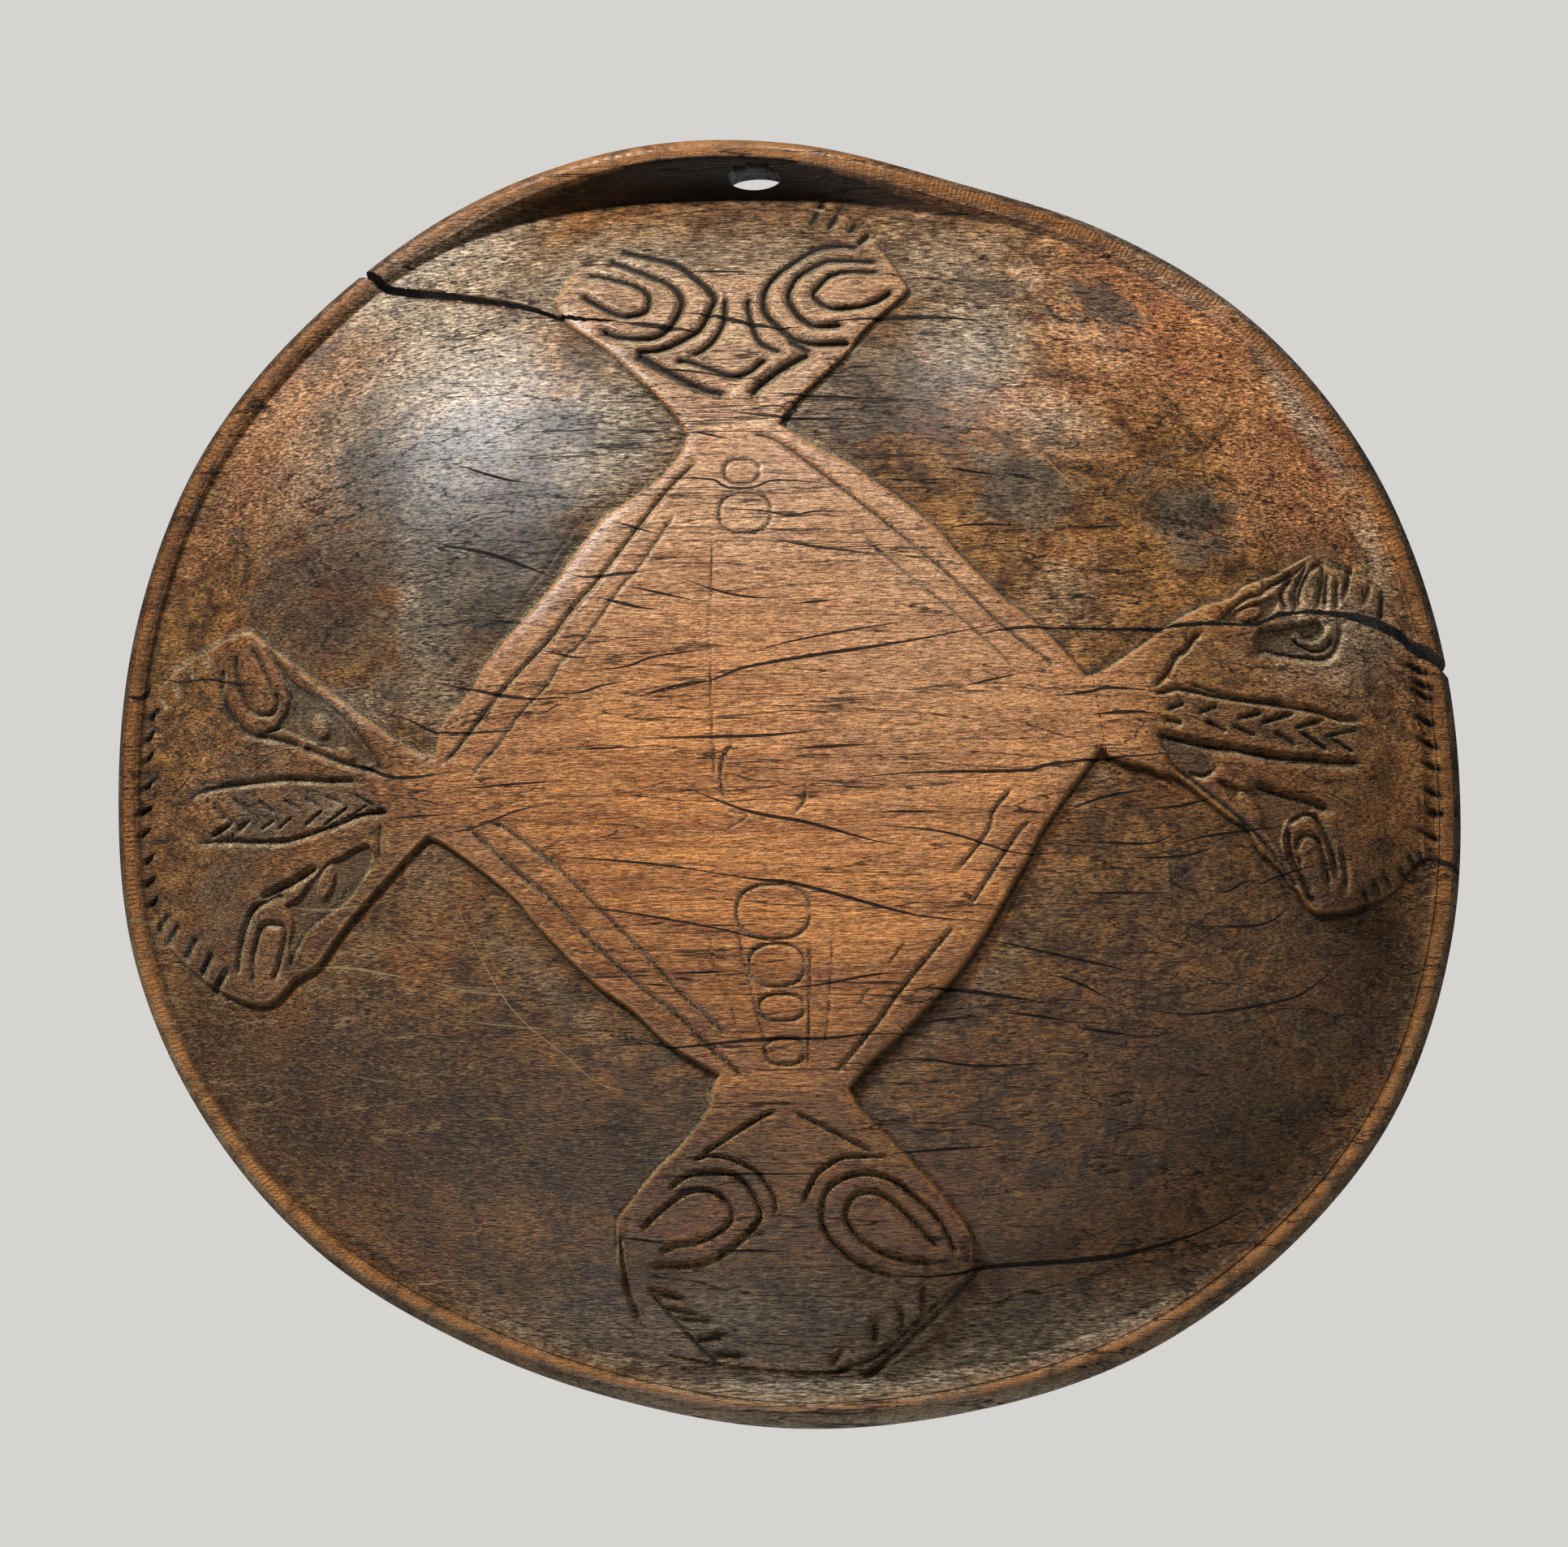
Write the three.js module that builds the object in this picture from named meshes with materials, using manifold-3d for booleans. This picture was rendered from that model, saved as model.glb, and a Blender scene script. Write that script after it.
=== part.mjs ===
// A round, shallow wooden platter, carved from one piece of wood, hung by a hole in its rim.
// Millimetres. +X right and +Z up as it hangs, +Y towards the wall. The carved, convex
// underside faces -Y, and the hollow of the dish faces +Y. The origin is in the suspension hole.
import * as THREE from "three";
import { mergeVertices } from "three/addons/utils/BufferGeometryUtils.js";
import Module from "manifold-3d";

const wasm = await Module();
wasm.setup();

// Outline: the plate's nominal radius, and how far the edge lies inside or outside it,
// every 15 degrees about the centre, anticlockwise from +X.
const RADIUS = 250;
const OUTLINE_STEP = 15;
const OUTLINE_SWAY = [
  -4, -5, -5, -7, -12, -16, -10, -3, 2, 4, 6, 4,
  2, 3, 0, -5, -12, -15, -13, -10, -4, 0, 3, 0,
];

// Underside. The belly swells towards -Y and the rim plane is y = 0.
const DOME = 62;
const DOME_POWER = 2.5;
const DOME_FOOT = 0.985;
const FOOT_FILLET = 2;

// Rim, seen from the carved side: belly, cove, raised ridge, outer bevel.
const BEVEL = 3;
const RIDGE = 5;
const COVE = 1.5;
const RIDGE_HEIGHT = 2.2;
const BEVEL_DROP = 2;

// The rim grows into a pierced flange at the top and into a broad lip at the bottom.
const FLANGE = { at: 97, half: 34, cove: 12, height: 12.8, lift: 12, slim: 0.5 };
const LIP = { at: 272, half: 72, cove: 7.2, height: 4.8, bevel: 3, slim: 2 };

// Hollow side.
const BACK = 12;
const BACK_EDGE = 2.5;
const BACK_FACE = 8;
const HOLLOW_EASE = 1.5;
const CENTRE_WALL = 13;
const HOLLOW_POWER = 2.6;

// Relief and its grooves. Their plans are drawn in millimetres on a plate of PLAN_RADIUS.
const PLAN_RADIUS = 250;
const RELIEF = 2.8;
const RELIEF_ROOT = 3;
const GROOVE_DEPTH = 1.5;
const GROOVE_CLEAR = 0.5;

// Suspension hole, a flat oval through the flange.
const HOLE = { at: 93.2, inset: 13.8, width: 19, height: 6.4 };

// Resolution.
const SECTORS = 72;
const BELLY_RINGS = [0.14, 0.28, 0.42, 0.54, 0.65, 0.75, 0.83, 0.9, 0.95, 0.98];
const HOLLOW_RINGS = [0.96, 0.9, 0.82, 0.72, 0.6, 0.46, 0.3, 0.14];
const CURVE_STEP = 8;
const GROOVE_STEP = 12;
const LENS_SIDES = 12;

const TURN = 360;
const rad = THREE.MathUtils.degToRad;

// A raised cosine, 1 at the angle `at` and 0 from `half` degrees away.
function swell(deg, { at, half }) {
  const away = Math.abs(THREE.MathUtils.euclideanModulo(deg - at + TURN / 2, TURN) - TURN / 2);
  return away < half ? 0.5 + 0.5 * Math.cos((Math.PI * away) / half) : 0;
}

// Radius of the outline: a closed Catmull-Rom curve through the sways.
function outlineRadius(deg) {
  const n = OUTLINE_SWAY.length;
  const place = THREE.MathUtils.euclideanModulo(deg, TURN) / OUTLINE_STEP;
  const i = Math.floor(place);
  const t = place - i;
  const [a, b, c, d] = [-1, 0, 1, 2].map((k) => OUTLINE_SWAY[(i + k + n) % n]);
  const bend = 2 * a - 5 * b + 4 * c - d;
  const twist = 3 * (b - c) + d - a;
  return RADIUS + b + 0.5 * t * (c - a + t * (bend + t * twist));
}

// The rim's section at an angle: radii from the outline inwards, and heights towards -Y.
function rimAt(deg) {
  const f = swell(deg, FLANGE);
  const l = swell(deg, LIP);
  const outer = outlineRadius(deg);
  const crestOut = outer - (BEVEL + LIP.bevel * l - FLANGE.slim * f);
  const crestIn = crestOut - (RIDGE - LIP.slim * l - FLANGE.slim * f);
  return {
    outer,
    crestOut,
    crestIn,
    foot: crestIn - (COVE + LIP.cove * l + FLANGE.cove * f),
    height: RIDGE_HEIGHT + LIP.height * l + FLANGE.height * f,
    edge: FLANGE.lift * f - BEVEL_DROP,
  };
}

// Height of the belly at a share s of the way from the centre to the rim's foot.
function bellyHeight(s) {
  const h = DOME * (1 - (s / DOME_FOOT) ** DOME_POWER);
  return FOOT_FILLET * Math.log1p(Math.exp(h / FOOT_FILLET));
}

// Height of the belly at a point of the plan.
function bellyAt(x, z) {
  const deg = THREE.MathUtils.radToDeg(Math.atan2(z, x));
  return bellyHeight(Math.hypot(x, z) / rimAt(deg).foot);
}

function solid(geometry) {
  geometry.deleteAttribute("normal");
  geometry.deleteAttribute("uv");
  const merged = mergeVertices(geometry, 1e-4);
  const mesh = new wasm.Mesh({
    numProp: 3,
    vertProperties: new Float32Array(merged.attributes.position.array),
    triVerts: new Uint32Array(merged.index.array),
  });
  return new wasm.Manifold(mesh);
}

function indexed(points, faces) {
  const geometry = new THREE.BufferGeometry();
  geometry.setAttribute("position", new THREE.Float32BufferAttribute(points.flat(), 3));
  geometry.setIndex(faces.flat());
  return geometry;
}

// A closed solid of rings about the Y axis, from a front pole to a back pole.
// A ring gives a radius and a height towards -Y at each angle.
function ringSolid(frontHeight, rings, backHeight) {
  const points = [[0, -frontHeight, 0]];
  for (const ring of rings) {
    for (let i = 0; i < SECTORS; i += 1) {
      const deg = (TURN * i) / SECTORS;
      const [radius, height] = ring(deg);
      points.push([radius * Math.cos(rad(deg)), -height, radius * Math.sin(rad(deg))]);
    }
  }
  points.push([0, -backHeight, 0]);
  const last = points.length - 1;
  const at = (row, i) => 1 + row * SECTORS + (i % SECTORS);
  const faces = [];
  for (let i = 0; i < SECTORS; i += 1) {
    faces.push([0, at(0, i), at(0, i + 1)]);
    for (let row = 0; row + 1 < rings.length; row += 1) {
      faces.push([at(row, i), at(row + 1, i), at(row + 1, i + 1)]);
      faces.push([at(row, i), at(row + 1, i + 1), at(row, i + 1)]);
    }
    faces.push([last, at(rings.length - 1, i + 1), at(rings.length - 1, i)]);
  }
  return solid(indexed(points, faces));
}

// A prism through the whole plate, along Y, from a closed plan of x and z.
function prism(plan) {
  const shape = new THREE.Shape(plan);
  const reach = DOME + RELIEF + BACK;
  const geometry = new THREE.ExtrudeGeometry(shape, { depth: 2 * reach, bevelEnabled: false, steps: 1 });
  geometry.translate(0, 0, -reach);
  geometry.rotateX(Math.PI / 2);
  return solid(geometry);
}

const toVectors = (points) => points.map(([x, z]) => new THREE.Vector2(x, z));

// Points of a drawn plan, on this plate.
function placed(points) {
  return points.map(([x, z]) => [(x * RADIUS) / PLAN_RADIUS, (z * RADIUS) / PLAN_RADIUS]);
}

// Points along a smooth curve through the given ones, about `step` mm apart.
function along(points, step) {
  const curve = new THREE.SplineCurve(toVectors(placed(points)));
  return curve.getSpacedPoints(Math.max(2, Math.round(curve.getLength() / step)));
}

// A closed plan of smooth stretches that meet at corners.
function plan(...stretches) {
  return stretches.flatMap((points) => along(points, CURVE_STEP).slice(0, -1));
}

// The turned-out lozenge in the middle, whose four corners are the necks of the heads.
const lozenge = plan(
  [[0, 125], [30, 106], [54, 88], [72, 70], [95, 49], [112, 31]],
  [[112, 31], [122, 1]],
  [[122, 1], [113, -2], [95, -29], [77, -57], [59, -81], [42, -100], [26, -119]],
  [[26, -119], [-21, -118]],
  [[-21, -118], [-31, -108], [-47, -92], [-71, -73], [-94, -48], [-116, -31], [-128, -25]],
  [[-128, -25], [-127, 7]],
  [[-127, 7], [-108, 31], [-89, 54], [-76, 72], [-63, 89], [-47, 103], [-34, 119]],
  [[-34, 119], [0, 125]],
);

// The four heads, each with its snout at a corner of the lozenge.
const headTop = plan(
  [[0, 118], [0, 125], [8, 136], [25, 154], [39, 171], [45, 183]],
  [[45, 183], [30, 203], [9, 217], [-13, 219], [-37, 218], [-64, 213], [-73, 203], [-86, 181]],
  [[-86, 181], [-70, 161], [-51, 140], [-34, 119], [-34, 112]],
  [[-34, 112], [0, 118]],
);
const headLeft = plan(
  [[-120, 7], [-127, 7], [-142, 13], [-161, 26], [-179, 41], [-194, 53], [-200, 56]],
  [[-200, 56], [-214, 52], [-230, 45], [-237, 34], [-240, 8], [-239, -21], [-236, -45]],
  [[-236, -45], [-217, -67], [-197, -80]],
  [[-197, -80], [-187, -78], [-176, -66], [-159, -52], [-143, -37], [-128, -25], [-120, -24]],
  [[-120, -24], [-120, 7]],
);
const headRight = plan(
  [[115, 1], [122, 1], [135, -5], [148, -12], [162, -23], [178, -39], [188, -49], [199, -52]],
  [[199, -52], [216, -46], [231, -34]],
  [[231, -34], [237, -23], [239, 1], [237, 28], [231, 48], [218, 65], [206, 74], [192, 80]],
  [[192, 80], [176, 70], [165, 63], [141, 53], [130, 42], [112, 31], [107, 31]],
  [[107, 31], [115, 1]],
);
const headBottom = plan(
  [[-21, -112], [-21, -118], [-26, -126], [-43, -143], [-59, -160], [-61, -171]],
  [[-61, -171], [-61, -182], [-56, -195], [-42, -209], [-26, -217], [8, -220], [35, -217],
    [53, -208], [65, -191], [69, -179], [68, -169]],
  [[68, -169], [55, -152], [38, -132], [26, -119], [26, -112]],
  [[26, -112], [-21, -112]],
);

// The double groove inside each side of the lozenge.
const borderGrooves = [
  [[-30, 109], [-54, 84], [-72, 60], [-96, 33], [-121, 4]],
  [[-37, 91], [-64, 60], [-84, 38], [-112, -1]],
  [[-9, 121], [31, 96], [67, 65], [103, 33]],
  [[31, 82], [60, 58], [86, 33]],
  [[93, -20], [72, -49], [52, -73], [22, -113]],
  [[85, -10], [67, -37], [44, -66]],
  [[-113, -19], [-83, -46], [-56, -72], [-22, -113]],
  [[-103, -19], [-72, -46], [-46, -73], [-24, -98]],
];

// Rings of the eyes and cells, each a closed groove through the points given.
const ringGrooves = [
  [[-62, 211], [-35, 203], [-29, 193], [-40, 182], [-57, 180], [-70, 196]],
  [[23, 207], [6, 208], [-7, 199], [-5, 190], [8, 182], [26, 185], [32, 196]],
  [[-212, 49], [-204, 41], [-196, 36], [-190, 40], [-193, 52], [-203, 54]],
  [[-205, -74], [-205, -56], [-201, -48], [-193, -51], [-195, -68]],
  [[176, 62], [178, 51], [188, 45], [200, 49], [198, 66], [190, 76]],
  [[177, -21], [186, -17], [195, -27], [199, -44], [190, -49], [180, -36]],
  [[-40, -166], [-22, -154], [-5, -163], [-5, -172], [-22, -183], [-45, -186], [-54, -176]],
  [[58, -181], [41, -158], [27, -153], [17, -162], [19, -173], [33, -186], [50, -186]],
  [[-21, 111], [-14, 106], [-7, 111], [-14, 116]],
  [[-22, 93], [-12, 85], [-3, 93], [-12, 101]],
  [[-21, 1], [-7, -11], [6, 0], [-6, 12]],
  [[-15, -56], [-1, -66], [12, -56], [-1, -46]],
  [[-11, -76], [0, -84], [10, -76], [0, -68]],
];

// Open drying splits: the two sides of each gap, from its tip out through the rim.
const splits = [
  {
    upper: [[101, 49], [130, 49.5], [159, 52], [173, 53], [177, 56], [200, 59], [218, 58],
      [230, 53], [262, 40]],
    lower: [[262, 30], [235, 42], [218, 52], [200, 55], [188, 55], [179, 53], [173, 50],
      [130, 48]],
  },
  {
    upper: [[-62, 168.5], [-80, 171], [-96, 177], [-122, 184], [-141, 187.5], [-151, 190], [-172, 204]],
    lower: [[-172, 200], [-152, 188], [-141, 185], [-121, 181.5], [-96, 175], [-80, 169.5]],
  },
];

// A V groove cut into the relief along a path in plan.
function grooveSolid(points, closed) {
  const path = placed(points).map(([x, z]) => new THREE.Vector3(x, 0, z));
  const curve = new THREE.CatmullRomCurve3(path, closed, "centripetal");
  const count = Math.max(closed ? 10 : 3, Math.round(curve.getLength() / GROOVE_STEP));
  const corners = [];
  const rows = closed ? count : count + 1;
  for (let i = 0; i < rows; i += 1) {
    const t = i / count;
    const p = curve.getPointAt(t);
    const tangent = curve.getTangentAt(t);
    const top = bellyAt(p.x, p.z) + RELIEF;
    const half = GROOVE_DEPTH + GROOVE_CLEAR;
    const across = [-tangent.z * half, tangent.x * half];
    corners.push([p.x + across[0], -top - GROOVE_CLEAR, p.z + across[1]]);
    corners.push([p.x - across[0], -top - GROOVE_CLEAR, p.z - across[1]]);
    corners.push([p.x, -top + GROOVE_DEPTH, p.z]);
  }
  const faces = [];
  const last = closed ? rows : rows - 1;
  for (let i = 0; i < last; i += 1) {
    const a = 3 * i;
    const b = 3 * ((i + 1) % rows);
    for (const [j, k] of [[0, 1], [1, 2], [2, 0]]) {
      faces.push([a + j, a + k, b + k], [a + j, b + k, b + j]);
    }
  }
  if (!closed) {
    const end = 3 * (rows - 1);
    faces.push([0, 2, 1], [end, end + 1, end + 2]);
  }
  const made = solid(indexed(corners, faces));
  if (made.volume() > 0) return made;
  return solid(indexed(corners, faces.map(([a, b, c]) => [a, c, b])));
}

// The body of the plate: belly, rim and hollow.
const hollowDepth = DOME + BACK - CENTRE_WALL;
const hollowEdge = (deg) => rimAt(deg).outer - BACK_EDGE - BACK_FACE;
const bellyRing = (s) => (deg) => [s * rimAt(deg).foot, bellyHeight(s)];
const hollowRing = (s) => (deg) => [
  s * (hollowEdge(deg) - HOLLOW_EASE),
  hollowDepth * (1 - s ** HOLLOW_POWER) - BACK + HOLLOW_EASE * s ** HOLLOW_POWER,
];
const rimRings = [
  (deg) => [rimAt(deg).foot, bellyHeight(1)],
  (deg) => [rimAt(deg).crestIn, rimAt(deg).height - 0.5],
  (deg) => [(rimAt(deg).crestIn + rimAt(deg).crestOut) / 2, rimAt(deg).height],
  (deg) => [rimAt(deg).crestOut, rimAt(deg).height - 0.5],
  (deg) => [rimAt(deg).outer, rimAt(deg).edge],
  (deg) => [rimAt(deg).outer - BACK_EDGE, -BACK],
  (deg) => [hollowEdge(deg), -BACK],
];
const body = ringSolid(
  bellyHeight(0),
  [
    ...BELLY_RINGS.map(bellyRing),
    ...rimRings,
    ...HOLLOW_RINGS.map(hollowRing),
  ],
  hollowDepth - BACK,
);

// The layer of wood that the relief stands in, from just inside the belly to its top.
const reliefLayer = ringSolid(
  bellyHeight(0) + RELIEF,
  [
    ...BELLY_RINGS.map((s) => (deg) => [s * rimAt(deg).foot, bellyHeight(s) + RELIEF]),
    (deg) => [rimAt(deg).foot, bellyHeight(1) + RELIEF],
    (deg) => [rimAt(deg).foot, bellyHeight(1) - RELIEF_ROOT],
    ...BELLY_RINGS.toReversed().map((s) => (deg) => [s * rimAt(deg).foot, bellyHeight(s) - RELIEF_ROOT]),
  ],
  bellyHeight(0) - RELIEF_ROOT,
);

let platter = body;
for (const figure of [lozenge, headTop, headLeft, headRight, headBottom]) {
  platter = platter.add(reliefLayer.intersect(prism(figure)));
}
for (const path of borderGrooves) {
  platter = platter.subtract(grooveSolid(path, false));
}
for (const path of ringGrooves) {
  platter = platter.subtract(grooveSolid(path, true));
}
for (const { upper, lower } of splits) {
  platter = platter.subtract(prism(toVectors(placed([...upper, ...lower]))));
}

// The suspension hole is a flat oval.
const holeRadius = outlineRadius(HOLE.at) - HOLE.inset;
const holeX = holeRadius * Math.cos(rad(HOLE.at));
const holeZ = holeRadius * Math.sin(rad(HOLE.at));
const lens = [];
for (let i = 0; i < LENS_SIDES; i += 1) {
  const t = (2 * Math.PI * i) / LENS_SIDES;
  const x = holeX + (HOLE.width / 2) * Math.cos(t);
  const z = holeZ + (HOLE.height / 2) * Math.sin(t);
  lens.push([x, z]);
}
platter = platter.subtract(prism(toVectors(lens)));

// Crumbs that two crossing grooves cut loose fall away.
const pieces = platter.decompose().sort((a, b) => b.volume() - a.volume());
const result = pieces[0].getMesh();
const geometry = new THREE.BufferGeometry();
geometry.setAttribute("position", new THREE.BufferAttribute(new Float32Array(result.vertProperties), 3));
geometry.setIndex(new THREE.BufferAttribute(new Uint32Array(result.triVerts), 1));
geometry.translate(-holeX, 0, -holeZ);
geometry.computeVertexNormals();

const wood = new THREE.MeshStandardMaterial({ name: "dark_wood", color: 0x5a4636, roughness: 0.55 });
const mesh = new THREE.Mesh(geometry, wood);
mesh.name = "platter";

const part = new THREE.Group();
part.name = "wooden_platter";
part.add(mesh);

export default part;
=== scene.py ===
# %% [markdown]
# # A carved wooden platter
# The object is one round dish, cut from a single plank and hung by a hole in its rim. We see
# its carved, convex underside: a lozenge with four heads in low relief on a smooth belly,
# inside a narrow raised rim. This lesson builds the surfaces with numpy from formulas in
# words, cuts the splits with booleans, and paints everything with one procedural wood.

import bpy
import numpy as np
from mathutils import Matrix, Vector


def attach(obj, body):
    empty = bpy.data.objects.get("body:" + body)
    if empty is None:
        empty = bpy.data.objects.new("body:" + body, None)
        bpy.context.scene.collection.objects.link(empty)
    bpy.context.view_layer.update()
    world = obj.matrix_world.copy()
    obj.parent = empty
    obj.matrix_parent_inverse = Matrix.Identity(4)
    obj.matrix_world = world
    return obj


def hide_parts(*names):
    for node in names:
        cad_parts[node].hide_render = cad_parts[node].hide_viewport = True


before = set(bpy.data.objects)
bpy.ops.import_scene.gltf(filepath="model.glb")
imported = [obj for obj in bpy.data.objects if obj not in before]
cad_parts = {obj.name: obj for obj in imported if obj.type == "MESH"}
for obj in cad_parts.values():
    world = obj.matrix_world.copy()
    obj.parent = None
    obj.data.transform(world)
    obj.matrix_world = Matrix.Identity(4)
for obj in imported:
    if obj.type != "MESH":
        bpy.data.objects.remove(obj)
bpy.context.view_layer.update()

# %% [markdown]
# ## The plate's formulas
# All lengths here are millimetres about the plate's centre, with X to the right, Z up and
# the height h towards the viewer. The rim plane is h = 0. The object's own origin is in the
# suspension hole, so every mesh is shifted there and scaled to metres at the end.
#
# The real dish was cut round by eye, so its edge sways in and out of a circle. We could trace
# it, but two dozen sways on equal angles say the same and give one smooth closed curve.

# %% Outline and rim
RADIUS = 250
SWAY = [-4, -5, -5, -7, -12, -16, -10, -3, 2, 4, 6, 4, 2, 3, 0, -5, -12, -15, -13, -10, -4, 0, 3, 0]
HOLE_ANGLE, HOLE_INSET, HOLE_WIDTH, HOLE_HEIGHT = 93.2, 13.8, 20.5, 7.6


def outline_radius(deg):
    """Radius of the plate's edge: RADIUS plus a closed Catmull-Rom curve through the sways."""
    place = np.mod(deg, 360) / (360 / len(SWAY))
    i = np.floor(place).astype(int)
    t = place - i
    a, b, c, d = (np.take(SWAY, i + k, mode="wrap") for k in (-1, 0, 1, 2))
    return RADIUS + b + 0.5 * t * (c - a + t * (2 * a - 5 * b + 4 * c - d + t * (3 * (b - c) + d - a)))


def swell(deg, at, half):
    """A raised cosine: 1 at the angle `at`, falling to 0 at `half` degrees from it."""
    away = np.abs(np.mod(deg - at + 180, 360) - 180)
    return np.where(away < half, 0.5 + 0.5 * np.cos(np.pi * np.minimum(away / half, 1)), 0)


# middle and half width, in degrees, of the pierced flange at the top and the lip at the bottom
FLANGE, LIP = (97, 34), (272, 72)
# mm on the plain rim, then what the flange and the lip add: the bevel outside the crest, the
# crest, the cove inside it, and the heights of the ridge and of the edge
BEVEL, CREST, COVE = (3, -0.5, 3), (5, -0.5, -2), (1.5, 12, 7.2)
RIDGE_HEIGHT, EDGE_HEIGHT = (2.2, 12.8, 4.8), (-2, 12, 0)


def rim_at(deg):
    """The rim's section: radii of edge, crest and foot, heights of the ridge and of the edge."""
    flange, lip = swell(deg, *FLANGE), swell(deg, *LIP)
    bevel, crest, cove, height, drop = (
        plain + on_flange * flange + on_lip * lip
        for plain, on_flange, on_lip in (BEVEL, CREST, COVE, RIDGE_HEIGHT, EDGE_HEIGHT)
    )
    edge = outline_radius(deg)
    return {
        "edge": edge, "crest_out": edge - bevel, "crest_in": edge - bevel - crest,
        "foot": edge - bevel - crest - cove, "height": height, "drop": drop, "flange": flange, "lip": lip,
    }


angles = np.arange(0, 360, 15)
print("edge radii:", np.round(outline_radius(angles)))

# %% Belly and hollow
DOME, DOME_POWER, DOME_FOOT, FILLET = 62, 2.5, 0.985, 2
BACK, BACK_EDGE, BACK_FACE, HOLLOW_EASE, HOLLOW_POWER = 12, 2.5, 8, 1.5, 2.6
WALL = 13
HOLLOW_DEPTH = DOME + BACK - WALL


def belly_height(s):
    """Height of the belly at a share s of the way to the rim's foot: a flat-topped dome
    DOME(1 - (s/foot)^power), eased into the rim plane by a soft maximum."""
    return FILLET * np.log1p(np.exp(DOME * (1 - (s / DOME_FOOT) ** DOME_POWER) / FILLET))


def belly_at(x, z):
    """Height of the belly over the plan point (x, z)."""
    return belly_height(np.hypot(x, z) / rim_at(np.degrees(np.arctan2(z, x)))["foot"])


def hollow_height(s):
    """Height of the hollow's floor at a share s of the way to its edge."""
    return HOLLOW_DEPTH * (1 - s**HOLLOW_POWER) - BACK + HOLLOW_EASE * s**HOLLOW_POWER


def hollow_edge(deg):
    """Radius at which the hollow's floor ends and the flat back of the rim begins."""
    return outline_radius(deg) - BACK_EDGE - BACK_FACE


print("wall at the centre:", belly_height(0.0) - hollow_height(0.0))

# %% [markdown]
# ## Drawing with strokes
# The carver drew with a knife: outlines first, then grooves. We do the same. Each figure is
# an outline of smooth stretches that meet at corners, and each groove is a short row of
# points with a width and a depth. A smooth curve runs through the points. Bezier curves in
# Blender could hold the same lines, but here we need the distance of every vertex to them.

# %% Curves and distances
def smooth(points, step=2.0, closed=False):
    """Points about `step` apart on a Hermite curve whose tangent at each point is the
    slope between its neighbours, measured along the chords."""
    p = np.asarray(points, float)
    if len(p) < 3:
        return p
    if closed:
        p = np.vstack([p[-2:], p, p[:2]])
    t = np.r_[0, np.cumsum(np.hypot(*np.diff(p, axis=0).T))]
    slope = np.empty_like(p)
    slope[1:-1] = (p[2:] - p[:-2]) / (t[2:] - t[:-2])[:, None]
    slope[0] = (p[1] - p[0]) / (t[1] - t[0])
    slope[-1] = (p[-1] - p[-2]) / (t[-1] - t[-2])
    first, last = (2, len(p) - 2) if closed else (0, len(p) - 1)
    at = np.linspace(t[first], t[last], max(3, int((t[last] - t[first]) / step) + 1))
    i = np.clip(np.searchsorted(t, at, side="right") - 1, 0, len(p) - 2)
    span = (t[i + 1] - t[i])[:, None]
    u = ((at - t[i]) / span[:, 0])[:, None]
    return (
        (2 * u**3 - 3 * u**2 + 1) * p[i] + (u**3 - 2 * u**2 + u) * span * slope[i]
        + (3 * u**2 - 2 * u**3) * p[i + 1] + (u**3 - u**2) * span * slope[i + 1]
    )


def to_line(x, z, line):
    """For each point: distance to the line of segments, signed by its side, and the place
    along the line of the nearest point, both in mm."""
    best = np.full(x.shape, 1e9)
    side = np.ones(x.shape)
    place = np.zeros(x.shape)
    run = 0.0
    for (ax, az), (bx, bz) in zip(line[:-1], line[1:]):
        dx, dz = bx - ax, bz - az
        length = np.hypot(dx, dz)
        if length == 0:
            continue
        t = np.clip(((x - ax) * dx + (z - az) * dz) / length**2, 0, 1)
        away = np.hypot(x - ax - t * dx, z - az - t * dz)
        closer = away < best
        best = np.where(closer, away, best)
        side = np.where(closer, np.sign((x - ax) * dz - (z - az) * dx), side)
        place = np.where(closer, run + t * length, place)
        run += length
    return best * side, place, run


def inside(x, z, line):
    """Distance in mm from each point to a closed outline, positive inside."""
    odd = np.zeros(x.shape, bool)
    for (ax, az), (bx, bz) in zip(line, np.roll(line, -1, axis=0)):
        if az != bz:
            odd ^= ((az > z) != (bz > z)) & (x < ax + (z - az) * (bx - ax) / (bz - az))
    away = np.abs(to_line(x, z, np.vstack([line, line[:1]]))[0])
    return np.where(odd, away, -away)


def ramp(value, low, high):
    """0 below low, 1 above high, and an S curve between."""
    t = np.clip((value - low) / (high - low), 0, 1)
    return t * t * (3 - 2 * t)


def close_to(x, z, line, reach):
    """Which points lie in the line's box, grown by a reach: only these need exact distances."""
    (x0, z0), (x1, z1) = line.min(axis=0), line.max(axis=0)
    return (x > x0 - reach) & (x < x1 + reach) & (z > z0 - reach) & (z < z1 + reach)


quarter = smooth([(1, 0), (0.7, 0.7), (0, 1)], 0.01)
print("a quarter circle's length:", to_line(np.zeros(1), np.zeros(1), quarter)[2])

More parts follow.
